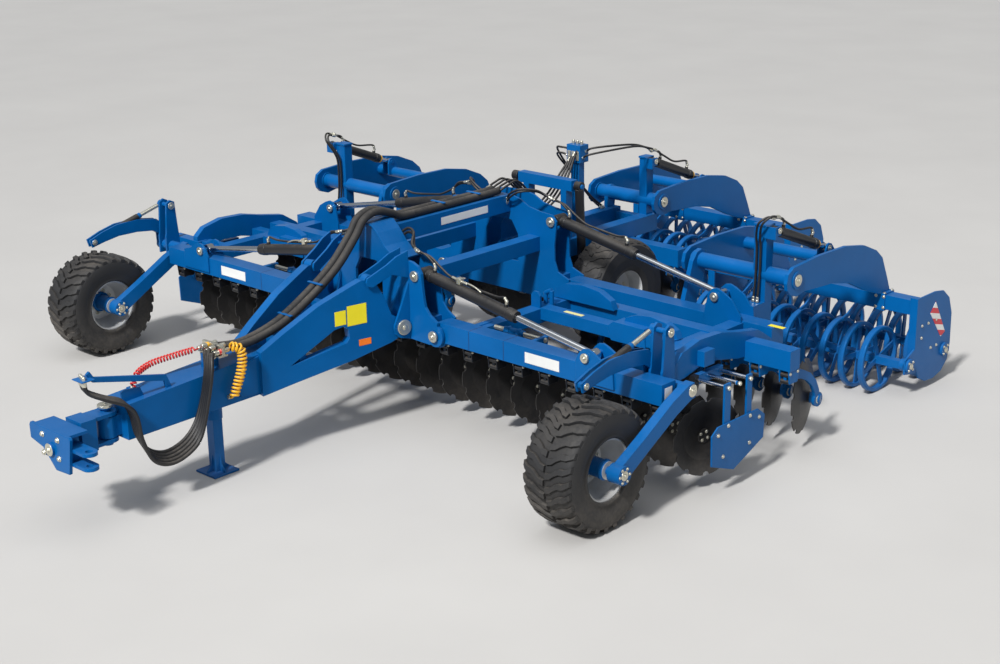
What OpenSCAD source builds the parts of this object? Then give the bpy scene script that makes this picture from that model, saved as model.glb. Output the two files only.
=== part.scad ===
// Folding trailed disc harrow with tandem ring rollers, all sizes in millimetres.
// X runs to the machine's left, Y runs from the hitch to the rear, Z is up from the ground.

/* [Frame] */
// Distance of the wing fold hinge from the centre line
hinge_x = 698; // [690:1:720]
// Height of the wing fold hinge
hinge_z = 784; // [774:1:794]
// Width of the main cross beams, front to back
beam_w = 150; // [140:1:150]
// Height of the top of the main cross beams
beam_top = 885; // [875:1:890]
// Wall gap between a hinge plate and a wing beam
plate_gap = 7; // [6:1:9]
// Thickness of the front tower plate
tower_t = 25; // [15:1:30]

/* [Discs] */
// Diameter of a soil disc
disc_d = 560; // [520:5:580]
// Distance between discs in a row
disc_pitch = 250; // [250:1:252]
// Angle of a disc to the line of travel
disc_angle = 17; // [12:1:19]
// Height of a disc hub
hub_z = 400; // [400:1:420]
// Thickness of a disc blade
disc_t = 7; // [6:1:10]

/* [Rollers] */
// Outer diameter of a roller ring
ring_d = 540; // [500:5:545]
// Height of a roller axle, half the ring diameter when it stands on the ground
roller_z = 270; // [255:1:275]
// Number of rings on one drum
ring_count = 10; // [6:1:11]
// Axial width of one ring
ring_w = 50; // [40:1:60]

/* [Wheels] */
// Outer diameter of a support tyre
tyre_d = 874; // [850:2:880]
// Width of a support tyre
tyre_w = 404; // [380:2:410]
// Radius where the support tyre sits on its rim
rim_r = 215; // [205:1:225]
// Outer diameter of a transport tyre
road_tyre_d = 930; // [900:5:940]

/* [Cylinders] */
// Outer diameter of a fold cylinder barrel
fold_barrel_d = 90; // [80:1:92]
// Diameter of a fold cylinder rod
fold_rod_d = 50; // [40:1:52]
// Radial clearance of a shaft in its hole
run = 0.05; // [0.03:0.01:0.08]

/* [Hidden] */

// Cross beams
front_y = 1645;
rear_y = 3126;
gang_y = 2750;
centre_gang_y = 4370;
beam_h = 150;
beam_z0 = beam_top - beam_h;
beam_mid = beam_top - beam_h / 2;
knuckle_r = 95;
lobe_r = 84;
hinge_pin_r = 25;
beam_end_gap = 13;
centre_beam_half = hinge_x - knuckle_r - beam_end_gap;
left_beam_end = 800 + 8 * disc_pitch;
right_beam_end = 640 + 8 * disc_pitch;
left_gang_end = 1062 + 8 * disc_pitch;
right_gang_end = 850 + 8 * disc_pitch;
centre_gang_end = 5 * disc_pitch - 400;
rear_plate_t = 15;

// Fold cylinders: base pin x and z, rod pin x and z, closed length
front_base = [507, 1214];
front_rod = [2153, 937];
rear_base = [542, 1340];
rear_rod = [2157, 1030];
fold_max = 85;
fold_pin_r = 20;
eye_w = 60;
eye_gap = 3;
rod_eye_r = 42;
base_eye_r = 46;
gland = 105;
overlap = 32;

// Parking jack: width of its square leg and its gap in the tube
jack_w = 80;
jack_gap = 0.6;

// Gang geometry
arm_trail = 385;
arm_root_z = 672;
arm_t = 25;
arm_side = 62;
clamp_w = 90;
clamp_len = 120;
hub_r = 55;
notches = 10;

// Roller geometry
roll_pivot_y = 3400;
roll_pivot_z = 1165;
centre_shift = 1310;
roll_pin_r = 30;
arc_t = 30;
drum_y = [4530, 5080];
roll_tube_y = 4700;
roll_tube_z = 710;
depth_base = [3360, 1526];
depth_rod = [4057, 1250];
depth_len = norm([depth_rod[0] - depth_base[0], depth_rod[1] - depth_base[1]]);
depth_barrel_len = round(0.8 * depth_len);
depth_rod_len = round(0.387 * depth_len);
depth_barrel_r = 40;
column_y = [-15, 75];
depth_rod_r = 20;
depth_pin_r = 18;
axle_r = 25;

// Transport axle geometry
road_pivot = [3330, 820];
road_hub = [3800, 585];
road_x = 568;
road_w = 352;
lift_base = [3600, 1500];
lift_pin = [3640, 800];
lift_x = 350;

// Support wheel unit, x of the bracket of each side
wheel_x0 = [2630, -2939];
wheel_hub = [1053, tyre_d / 2];
wheel_in = 34;

eps = 0.5;
black = [0.06, 0.06, 0.07];
blue = [0.05, 0.28, 0.72];
dark_steel = [0.10, 0.10, 0.11];
zinc = [0.78, 0.76, 0.66];
chrome = [0.85, 0.86, 0.88];
rim_paint = [0.85, 0.85, 0.82];

// Solid along X from a profile given as points of y and z, between two x places
module plate_x(x0, x1, pts) {
    translate([x1, 0, 0]) rotate([0, -90, 0]) linear_extrude(height = x1 - x0)
        polygon([for (p = pts) [p[1], p[0]]]);
}

// Solid along Y from a profile given as points of x and z, between two y places
module plate_y(y0, y1, pts) {
    translate([0, y1, 0]) rotate([90, 0, 0]) linear_extrude(height = y1 - y0) polygon(pts);
}

module box(a, b) {
    translate(a) cube([b[0] - a[0], b[1] - a[1], b[2] - a[2]]);
}

module rod_x(x0, x1, y, z, r) {
    translate([x0, y, z]) rotate([0, 90, 0]) cylinder(h = x1 - x0, r = r, $fn = 40);
}

module rod_y(y0, y1, x, z, r) {
    translate([x, y1, z]) rotate([90, 0, 0]) cylinder(h = y1 - y0, r = r, $fn = 40);
}

module rod_z(z0, z1, x, y, r) {
    translate([x, y, z0]) cylinder(h = z1 - z0, r = r, $fn = 40);
}

// Round bar between two points
module bar(a, b, r) {
    d = b - a;
    n = norm(d);
    translate(a) rotate([0, acos(d[2] / n), atan2(d[1], d[0])]) cylinder(h = n, r = r, $fn = 24);
}

function unit(v) = v / norm(v);
function side_of(p, i) = let (
    a = p[max(i - 1, 0)],
    b = p[min(i + 1, len(p) - 1)],
    d = unit([b[0] - a[0], b[1] - a[1]])
) [-d[1], d[0]];
// Closed outline of a strip along a path of [u, v, width]
function ribbon(p) = concat(
    [for (i = [0:len(p) - 1]) let (n = side_of(p, i)) [p[i][0] + n[0] * p[i][2] / 2, p[i][1] + n[1] * p[i][2] / 2]],
    [for (i = [len(p) - 1:-1:0]) let (n = side_of(p, i)) [p[i][0] - n[0] * p[i][2] / 2, p[i][1] - n[1] * p[i][2] / 2]]
);

// Smooth hose through points, with rings of a set number of sides
function cross3(a, b) = [a[1] * b[2] - a[2] * b[1], a[2] * b[0] - a[0] * b[2], a[0] * b[1] - a[1] * b[0]];
function tan_at(p, i) = unit(p[min(i + 1, len(p) - 1)] - p[max(i - 1, 0)]);
module hose(p, r, up = [1, 0.05, 0.1], sides = 8) {
    n = len(p);
    pts = [for (i = [0:n - 1]) let (
        t = tan_at(p, i),
        u = unit(cross3(t, up)),
        v = cross3(t, u)
    ) for (k = [0:sides - 1]) p[i] + r * (cos(360 * k / sides) * u + sin(360 * k / sides) * v)];
    walls = [for (i = [0:n - 2]) for (k = [0:sides - 1])
        let (a = i * sides + k, b = i * sides + (k + 1) % sides)
        for (f = [[a, b, b + sides], [a, b + sides, a + sides]]) f];
    polyhedron(
        points = pts,
        faces = concat([[for (k = [sides - 1:-1:0]) k]], walls, [[for (k = [0:sides - 1]) (n - 1) * sides + k]])
    );
}
function bez(a, b, c, d, n) = [for (i = [0:n]) let (t = i / n, s = 1 - t)
    s * s * s * a + 3 * s * s * t * b + 3 * s * t * t * c + t * t * t * d];

// One side shared by both hands of the machine
module hand(side) {
    if (side < 0) mirror([1, 0, 0]) children();
    else children();
}

// Fold cylinder of either axle line, drawn for the left hand
function fold_len(base, rod) = norm(rod - base);
function fold_closed(base, rod) = let (
    d = rod - [hinge_x, hinge_z],
    c = cos(fold_max),
    s = sin(fold_max),
    q = [hinge_x + d[0] * c - d[1] * s, hinge_z + d[0] * s + d[1] * c]
) norm(q - base);
function fold_barrel_len(base, rod) = fold_closed(base, rod) - gland;
function fold_rod_len(base, rod) = fold_len(base, rod) - fold_barrel_len(base, rod) + overlap;

// Places the cylinder's own line, x along it from the base pin, at its y
module on_fold_line(base, rod, y) {
    translate([base[0], y, base[1]]) rotate([0, atan2(base[1] - rod[1], rod[0] - base[0]), 0]) children();
}

module fold_barrel(base, rod, y) {
    len_b = fold_barrel_len(base, rod);
    len_r = fold_rod_len(base, rod);
    total = fold_len(base, rod);
    closed = fold_closed(base, rod);
    on_fold_line(base, rod, y) difference() {
        union() {
            rod_x(base_eye_r - 8, len_b, 0, 0, fold_barrel_d / 2);
            rod_x(len_b - 60, len_b - 20, 0, 0, fold_barrel_d / 2 + 1.5);
            rod_y(-eye_w, eye_w, 0, 0, base_eye_r);
        }
        rod_y(-eye_w - 1, eye_w + 1, 0, 0, hinge_pin_r + run);
        rod_x(closed - len_r - 12, len_b + 1, 0, 0, fold_rod_d / 2 + run);
    }
}

module fold_rod(base, rod, y) {
    len_r = fold_rod_len(base, rod);
    total = fold_len(base, rod);
    on_fold_line(base, rod, y) difference() {
        union() {
            rod_x(total - len_r, total - rod_eye_r + 8, 0, 0, fold_rod_d / 2);
            rod_y(-eye_w / 2, eye_w / 2, total, 0, rod_eye_r);
        }
        rod_y(-eye_w, eye_w, total, 0, fold_pin_r + run);
    }
}

// Two bracket plates on a wing beam with the stub pins that hold a fold rod's eye
module rod_bracket(rod, y) {
    half = beam_w / 2;
    pts = [
        [rod[0] - 93, beam_mid - 50], [rod[0] - 93, beam_top + 12], [rod[0] - 62, rod[1] + 22],
        [rod[0] - 24, rod[1] + 58], [rod[0] + 20, rod[1] + 66], [rod[0] + 72, rod[1] + 48],
        [rod[0] + 150, rod[1] + 4], [rod[0] + 236, beam_top + 32], [rod[0] + 248, beam_mid - 50]
    ];
    for (s = [-1, 1]) {
        plate_y(y + s * (half + 7.5) - 7.5, y + s * (half + 7.5) + 7.5, pts);
        rod_y(min(s * (eye_w / 2 + eye_gap), s * (half + 2)) + y, max(s * (eye_w / 2 + eye_gap), s * (half + 2)) + y,
            rod[0], rod[1], fold_pin_r);
        rod_y(y + s * (half + 23) - 9, y + s * (half + 23) + 9, rod[0], rod[1], 34);
    }
}

// Hinge tower plate outline of the front, right half points then mirrored
tower_half = [
    [80, 1548], [140, 1490], [214, 1402], [290, 1350], [380, 1328], [481, 1317], [540, 1292], [572, 1240],
    [580, 1147], [590, 1060], [605, 989], [650, 935], [728, 890], [728, 745], [646, 705], [465, 712]
];
rear_tower_half = [
    [110, 1500], [200, 1480], [300, 1430], [420, 1408], [500, 1402], [560, 1396], [598, 1350],
    [590, 1260], [575, 1140], [578, 1020], [610, 935], [728, 890], [728, 745], [646, 705], [465, 690]
];
function both_halves(h) = concat(h, [for (i = [len(h) - 1:-1:0]) [-h[i][0], h[i][1]]]);

module hinge_plate(y0, y1, half, window) {
    difference() {
        union() {
            plate_y(y0, y1, both_halves(half));
            for (s = [-1, 1]) rod_y(y0, y1, s * hinge_x, hinge_z, lobe_r);
        }
        plate_y(y0 - 1, y1 + 1, window);
        for (s = [-1, 1]) rod_y(y0 - 1, y1 + 1, s * hinge_x, hinge_z, hinge_pin_r + run);
    }
}

// Pair of hinge plates round a centre beam, with the pins of the fold cylinders
module hinge_tower(y, half, base, window, front_t) {
    inner = beam_w / 2 + plate_gap;
    hinge_plate(y - inner - front_t, y - inner, half, window);
    hinge_plate(y + inner, y + inner + rear_plate_t, half, window);
    box([-centre_beam_half, y - inner - eps, beam_z0], [centre_beam_half, y + inner + eps, beam_top]);
    for (s = [-1, 1]) {
        rod_y(y - inner - front_t - 14, y + inner + rear_plate_t + 14, s * base[0], base[1], hinge_pin_r);
        for (e = [[y - inner - front_t - 14, y - inner - front_t], [y + inner + rear_plate_t, y + inner + rear_plate_t + 14]])
            rod_y(e[0], e[1], s * base[0], base[1], 40);
    }
}

// Drawbar leg, drawn along its own line from the pivot pin forward
leg_a = [370, 1490];
leg_b = [120, 250];
leg_dir = unit(leg_b - leg_a);
leg_t = 70;
leg_pivot_z = 816;
module on_leg(side) {
    hand(side) translate([leg_a[0], leg_a[1], 0]) rotate([0, 0, atan2(leg_dir[1], leg_dir[0])]) children();
}
leg_outline = [
    [30, 890], [84, 925], [150, 1090], [212, 1190], [262, 1226], [333, 1234], [425, 1204], [700, 1106], [987, 960],
    [1091, 901], [1184, 850], [1184, 522], [925, 564], [424, 636], [93, 707], [20, 735]
];
leg_window = [[952, 701], [577, 900], [500, 912], [457, 880], [450, 815], [480, 780]];

module drawbar() color(blue) {
    difference() {
        for (s = [-1, 1]) on_leg(s) {
            difference() {
                union() {
                    plate_y(-leg_t / 2, leg_t / 2, leg_outline);
                    rod_y(-leg_t / 2, leg_t / 2, 0, leg_pivot_z, 44);
                    rod_y(-leg_t / 2, leg_t / 2, 262, 1214, 46);
                    rod_y(-leg_t / 2 - 10, leg_t / 2 + 10, 262, 1214, 26);
                }
                plate_y(-leg_t / 2 - 1, leg_t / 2 + 1, leg_window);
                rod_y(-leg_t / 2 - 1, leg_t / 2 + 1, 0, leg_pivot_z, 35 + run);
            }
        }
        box([-450, 1535, 600], [450, 1750, 1010]);
    }
    difference() {
        union() {
            plate_x(-130, 130, [[460, 838], [460, 530], [-800, 516], [-800, 765]]);
            for (s = [-1, 1]) plate_x(min(s * 128, s * 142), max(s * 128, s * 142),
                [[150, 560], [120, 640], [150, 740], [230, 800], [330, 824], [430, 830], [430, 540]]);
            rod_z(412, 905, 0, 0, 62);
        }
        box([-jack_w / 2 - jack_gap, -jack_w / 2 - jack_gap, 400], [jack_w / 2 + jack_gap, jack_w / 2 + jack_gap, 897]);
    }
    // Neck and vertical boss of the swivel
    difference() {
        union() {
            box([-60, -880, 545], [60, -799, 685]);
            rod_z(540, 690, 0, -880, 70);
        }
        rod_z(530, 700, 0, -880, 35 + run);
    }
    // Step bracket and hose holder arm
    box([-110, -630, 760], [-40, -570, 792]);
    plate_x(60, 72, [[-790, 764], [-790, 838], [-760, 850], [-640, 838], [-610, 766]]);
    plate_x(80, 100, ribbon([[-420, 770, 44], [-450, 862, 44], [-1010, 998, 36], [-1045, 1052, 30]]));
    // Cross member and gusset between the legs
    box([-215, 640, 700], [215, 700, 820]);
    box([-300, 1180, 860], [300, 1240, 960]);
}

// Lugs on the front tower that hold the drawbar's lower and upper pins
module drawbar_lugs() {
    face = 1538;
    for (s = [-1, 1]) on_leg(s) {
        for (k = [-1, 1]) difference() {
            y0 = k > 0 ? leg_t / 2 + 5 : -leg_t / 2 - 27;
            union() {
                plate_y(y0, y0 + 22, [[-60, 712], [30, 735], [70, 770], [70, 850], [10, 985], [-60, 1160]]);
                rod_y(y0, y0 + 22, 0, leg_pivot_z, 78);
            }
        }
        rod_y(-leg_t / 2 - 40, leg_t / 2 + 40, 0, leg_pivot_z, 35);
        rod_y(-leg_t / 2 - 44, -leg_t / 2 - 26, 0, leg_pivot_z, 58);
        rod_y(leg_t / 2 + 26, leg_t / 2 + 44, 0, leg_pivot_z, 58);
    }
}

module front_tower() color(blue) {
    window = [[-150, 930], [-150, 1160], [-90, 1260], [90, 1260], [150, 1160], [150, 930]];
    inner = beam_w / 2 + plate_gap;
    difference() {
        union() {
            hinge_tower(front_y, tower_half, front_base, window, tower_t);
            // Edge flange from the apex down the curve
            for (s = [-1, 1]) hand(s) plate_y(front_y - inner - tower_t - 30, front_y + inner + rear_plate_t,
                ribbon([[20, 1542, 14], [80, 1538, 14], [140, 1484, 14], [214, 1394, 14], [290, 1342, 14],
                    [380, 1320, 14]]));
            box([-30, front_y - inner - tower_t - 30, 1535], [30, front_y + inner, 1549]);
            drawbar_lugs();
            // Upper fixing lugs of the drawbar
            for (s = [-1, 1]) on_leg(s) for (k = [-1, 1])
                plate_y(k > 0 ? leg_t / 2 + 11 : -leg_t / 2 - 27, k > 0 ? leg_t / 2 + 27 : -leg_t / 2 - 11,
                    [[-60, 1190], [90, 1240], [250, 1172], [296, 1184], [306, 1214], [296, 1246], [262, 1260],
                        [130, 1318], [40, 1370], [-60, 1400]]);
        }
    }
}

// Hub arms of one row under a beam: x places, beam y and side of the arm
module arm_row(xs, y, s) {
    for (x = xs) translate([x + s * arm_side, y, 0]) {
        for (k = [-1, 1]) translate([k * (clamp_w / 2 - 5) - 5, 0, 0]) plate_x(0, 10,
            [[-clamp_len / 2, beam_z0], [clamp_len / 2, beam_z0], [clamp_len / 2 - 10, 640], [-clamp_len / 2 + 10, 640]]);
        for (c = [[-36, arm_root_z - 24], [36, arm_root_z - 24], [-36, arm_root_z + 24], [36, arm_root_z + 24]])
            rod_x(-clamp_w / 2 + 5, clamp_w / 2 - 5, c[0], c[1], 14);
        plate_x(-arm_t / 2, arm_t / 2, ribbon([[-44, arm_root_z, 40], [60, arm_root_z - 2, 60],
            [160, arm_root_z - 16, 64], [250, arm_root_z - 62, 64], [320, arm_root_z - 125, 60],
            [362, arm_root_z - 200, 56], [arm_trail - 4, hub_z, 60]]));
        translate([0, arm_trail, hub_z]) rod_x(-arm_t / 2, arm_t / 2, 0, 0, hub_r);
        // Bearing housing turned to the disc's own angle
        translate([-s * arm_side, arm_trail, hub_z]) rotate([0, 90, s < 0 ? -disc_angle : 180 + disc_angle])
            translate([0, 0, -arm_side - 4]) cylinder(h = arm_side - 2, r = 42, $fn = 32);
    }
}

// Dished and notched discs of one row
module disc_row(xs, y, s) {
    r = disc_d / 2;
    dish = r / 5.6;
    for (x = xs) translate([x, y + arm_trail, hub_z]) rotate([0, 90, s < 0 ? -disc_angle : 180 + disc_angle])
        difference() {
            rotate_extrude($fn = 30) polygon([
                [0, 0], [58, 0], [0.62 * r, dish * 0.42], [r, dish],
                [r, dish + disc_t], [0.62 * r, dish * 0.42 + disc_t], [58, disc_t + 12], [0, disc_t + 12]
            ]);
            for (k = [0:notches - 1]) rotate([0, 0, k * 360 / notches]) translate([r + 4, 0, -10])
                cylinder(h = dish + 40, r = 28, $fn = 14);
        }
}

// Rows of discs: first x and count of each section
front_left = [for (i = [0:8]) 800 + i * disc_pitch];
front_right = [for (i = [0:7]) -700 - i * disc_pitch];
front_centre = [for (i = [0:4]) -450 + i * disc_pitch];
rear_left = [for (i = [0:8]) 950 + i * disc_pitch];
rear_right = [for (i = [0:8]) -800 - i * disc_pitch];
rear_centre = [for (i = [0:5]) -550 + i * disc_pitch];

module centre_disc_arms() color(blue) {
    arm_row(front_centre, front_y, -1);
    arm_row(rear_centre, centre_gang_y, 1);
}

module centre_discs() color(dark_steel) {
    disc_row(front_centre, front_y, -1);
    disc_row(rear_centre, centre_gang_y, 1);
}

// Arched side deflector with its arm and three guide rods, drawn for the left hand
module deflector() {
    plate_x(2974, 2986, [[1890, 470], [1895, 250], [2150, 154], [2500, 290], [2510, 460], [2430, 520], [1960, 520]]);
    box([2960, 2040, 440], [2975, 2110, 800]);
    box([2960, 2300, 440], [2975, 2360, 800]);
    for (y = [2075, 2200, 2330]) rod_x(2700, 2966, y, 770, 14);
    box([2680, 2040, 730], [2720, 2370, 800]);
}

// Front arms of a wing, cut round the rounded end of its beam
module wing_front_arms(xs, side) {
    difference() {
        arm_row(xs, front_y, -1);
        rod_y(front_y - beam_w, front_y + beam_w, side * hinge_x, hinge_z, knuckle_r + 1);
    }
}

module left_disc_arms() color(blue) {
    wing_front_arms(front_left, 1);
    arm_row(rear_left, gang_y, 1);
    deflector();
}

module left_discs() color(dark_steel) {
    disc_row(front_left, front_y, -1);
    disc_row(rear_left, gang_y, 1);
}

module right_disc_arms() color(blue) {
    wing_front_arms(front_right, -1);
    arm_row(rear_right, gang_y, 1);
    mirror([1, 0, 0]) deflector();
}

module right_discs() color(dark_steel) {
    disc_row(front_right, front_y, -1);
    disc_row(rear_right, gang_y, 1);
}

// Wing frame, drawn for the left hand up to a given beam end
module wing_frame(front_end, gang_start, gang_end) {
    half = beam_w / 2;
    for (y = [front_y, rear_y]) {
        rod_y(y - half, y + half, hinge_x, hinge_z, knuckle_r);
        box([hinge_x, y - half, beam_z0], [y == front_y ? front_end : 2660, y + half, beam_top]);
    }
    rod_y(front_y - half - plate_gap - tower_t - 10, front_y + half + plate_gap + rear_plate_t + 10, hinge_x, hinge_z,
        hinge_pin_r);
    rod_y(rear_y - half - plate_gap - rear_plate_t - 10, rear_y + half + plate_gap + rear_plate_t + 10, hinge_x,
        hinge_z, hinge_pin_r);
    for (e = [front_y - half - plate_gap - tower_t - 24, front_y + half + plate_gap + rear_plate_t + 6,
        rear_y - half - plate_gap - rear_plate_t - 20, rear_y + half + plate_gap + rear_plate_t + 6])
        rod_y(e, e + 14, hinge_x, hinge_z, 42);
    // Longitudinal members
    box([920, front_y + half - eps, 760], [1040, rear_y - half + eps, 875]);
    box([2290, front_y + half - eps, 760], [2410, rear_y - half + eps, 875]);
    // Gang beam, mid beam with its box end and gusset
    box([gang_start, gang_y - 60, beam_z0], [gang_end, gang_y + 60, beam_top]);
    box([1039, 2340, 790], [2291, 2450, beam_top]);
    plate_y(2330, 2460, [[1700, 880], [1760, 925], [2050, 925], [2060, 780], [1740, 780]]);
    // Arched plates on the gang and mid beams
    plate_y(2640, 2700, [[900, 880], [930, 955], [1030, 1005], [1200, 1025], [1370, 1005], [1480, 950], [1510, 880]]);
    plate_y(2400, 2460, [[1790, 880], [1820, 950], [1920, 990], [2050, 1005], [2190, 985], [2270, 940], [2300, 880]]);
    // Inner lug and bent pipe
    plate_y(2350, 2370, [[935, 870], [935, 970], [960, 1000], [1000, 1000], [1025, 970], [1025, 870]]);
    rod_z(870, 965, 970, 2480, 18);
    bar([970, 2480, 960], [1030, 2480, 990], 18);
    rod_z(870, 985, 1030, 2480, 18);
    // Rod brackets of the two fold cylinders
    rod_bracket(front_rod, front_y);
    rod_bracket(rear_rod, rear_y);
    // Roller column, its foot, inner lug and fixed pivot tube
    box([2281, min(rear_y + half - eps, depth_base[0] + column_y[0]), 790],
        [2391, max(roll_pivot_y + 35, depth_base[0] + column_y[1]), 960]);
    roller_column(2281, 2391, 900, 6, depth_base);
    plate_x(1725, 1765, [[3190, 800], [3190, beam_top], [3290, 1180], [3340, 1240], [3400, 1255], [3460, 1230],
        [3480, 1165], [3440, 1060], [3330, 800]]);
    rod_x(1712, 2595, roll_pivot_y, roll_pivot_z, 62);
    rod_x(1665, 2645, roll_pivot_y, roll_pivot_z, roll_pin_r);
    depth_fork(2391, 2450, depth_base);
    // Curved outer side plate on its cross boxes
    plate_x(2620, 2680, [[1868, 790], [1868, 915], [1950, 985], [2150, 1030], [2400, 1020], [2600, 975],
        [2850, 930], [3010, 830], [3060, 730], [2980, 720], [2880, 745], [2600, 775], [2350, 830], [2150, 835],
        [1990, 800]]);
    box([2409, 1900, 770], [2621, 2010, 870]);
    box([2409, 2480, 790], [2621, 2580, 870]);
    box([2679, 2120, 850], [2740, 2240, 960]);
}

// Column with its cap plate, placed by the depth cylinder's base pin
module roller_column(x0, x1, z0, lip, base) {
    box([x0, base[0] + column_y[0], z0], [x1, base[0] + column_y[1], base[1] + 27]);
    box([x0 - 6, base[0] + column_y[0] - 7, base[1] + 14], [x1 + lip, base[0] + column_y[1] + 7, base[1] + 30]);
}

// Fork that holds a depth cylinder's base eye beside its column
module depth_fork(x_col, x_cyl, base) {
    box([x_col - eps, base[0] - 40, base[1] - 40], [x_cyl - 26, base[0] + 26, base[1] + 30]);
    box([x_cyl + 26, base[0] - 40, base[1] - 40], [x_cyl + 40, base[0] + 26, base[1] + 30]);
    box([x_col - eps, base[0] - 48, base[1] - 64], [x_cyl + 40, base[0] - 36, base[1] + 30]);
    rod_x(x_cyl - 30, x_cyl + 46, base[0], base[1], depth_pin_r);
}

module left_wing_frame() color(blue) {
    wing_frame(left_beam_end, 920, left_gang_end);
}

module right_wing_frame() color(blue) mirror([1, 0, 0]) {
    wing_frame(right_beam_end, 705, right_gang_end);
    // Stub beam that carries the wheel bracket
    box([2600, 1862, 745], [2999, 1960, 875]);
}

// Support wheel bracket, arm, leg and stub axle, one hand only
module wheel_leg(x0) {
    for (k = [-60, 40]) plate_x(x0 + k, x0 + k + 20,
        [[1720, 745], [1862, 745], [1862, 880], [1850, 1000], [1834, 1205], [1790, 1226], [1748, 1200], [1728, 930],
            [1720, 900]]);
    rod_x(x0 - 118, x0 + 195, 1780, 810, 46);
    rod_x(x0 - 84, x0 + 74, 1790, 1175, 20);
    for (k = [-112, -66]) {
        plate_x(x0 + k, x0 + k + 16, ribbon([[1782, 800, 96], [1774, 934, 98], [1688, 1004, 108],
            [1500, 1032, 112], [1300, 1030, 104], [1150, 1000, 90], [1020, 962, 70]]));
    }
    rod_x(x0 - 124, x0 - 38, 1050, 972, 24);
    bar([x0 - 81, 1050, 972], [x0 - 81, 1790, 1175], 16);
    bar([x0 - 81, 1230, 1021.4], [x0 - 81, 1560, 1111.9], 25);
    rod_x(x0 - 92, x0 - 61, 1790, 1175, 34);
    plate_x(x0 + 192, x0 + 264, ribbon([[1810, 812, 110], [1760, 806, 112], [1600, 740, 112], [1300, 572, 108],
        [1053, wheel_hub[1], 120]]));
    rod_x(x0 + 180, x0 + 280, wheel_hub[0], wheel_hub[1], 66);
    rod_x(x0 + 36, x0 + 190, wheel_hub[0], wheel_hub[1], 30);
}

module left_wheel_leg() color(blue) wheel_leg(wheel_x0[0]);

module right_wheel_leg() color(blue) wheel_leg(wheel_x0[1]);

// Rim with its deep dish towards the leg
module wheel_rim(x0) {
    c = x0 - wheel_in;
    half = tyre_w * 0.42;
    translate([c, wheel_hub[0], wheel_hub[1]]) rotate([0, 90, 0]) {
        rotate_extrude($fn = 48) polygon([
            [rim_r - 10, -half], [rim_r, -half], [rim_r, half], [rim_r - 10, half],
            [rim_r - 16, half - 60], [rim_r - 60, -20], [rim_r - 66, -32], [rim_r - 22, -60]
        ]);
        difference() {
            union() {
                translate([0, 0, -32]) cylinder(h = 14, r = rim_r - 56, $fn = 48);
                translate([0, 0, -30]) cylinder(h = 205, r = 62, $fn = 40);
            }
            translate([0, 0, x0 + 36 - c - 5]) cylinder(h = 300, r = 30 + run, $fn = 40);
        }
    }
}

module wheel_tyre(x0) {
    w = tyre_w / 2;
    r = tyre_d / 2;
    translate([x0 - wheel_in, wheel_hub[0], wheel_hub[1]]) rotate([0, 90, 0]) rotate_extrude($fn = 64) polygon([
        [rim_r, -w * 0.8], [rim_r + 40, -w * 0.93], [rim_r + 110, -w], [r - 40, -w * 0.97], [r - 8, -w * 0.78],
        [r, -w * 0.4], [r, w * 0.4], [r - 8, w * 0.78], [r - 40, w * 0.97], [rim_r + 110, w],
        [rim_r + 40, w * 0.93], [rim_r, w * 0.8]
    ]);
}

module left_wheel_rim() color(rim_paint) wheel_rim(wheel_x0[0]);

module left_wheel_tyre() color(black) wheel_tyre(wheel_x0[0]);

module right_wheel_rim() color(rim_paint) wheel_rim(wheel_x0[1]);

module right_wheel_tyre() color(black) wheel_tyre(wheel_x0[1]);

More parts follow.
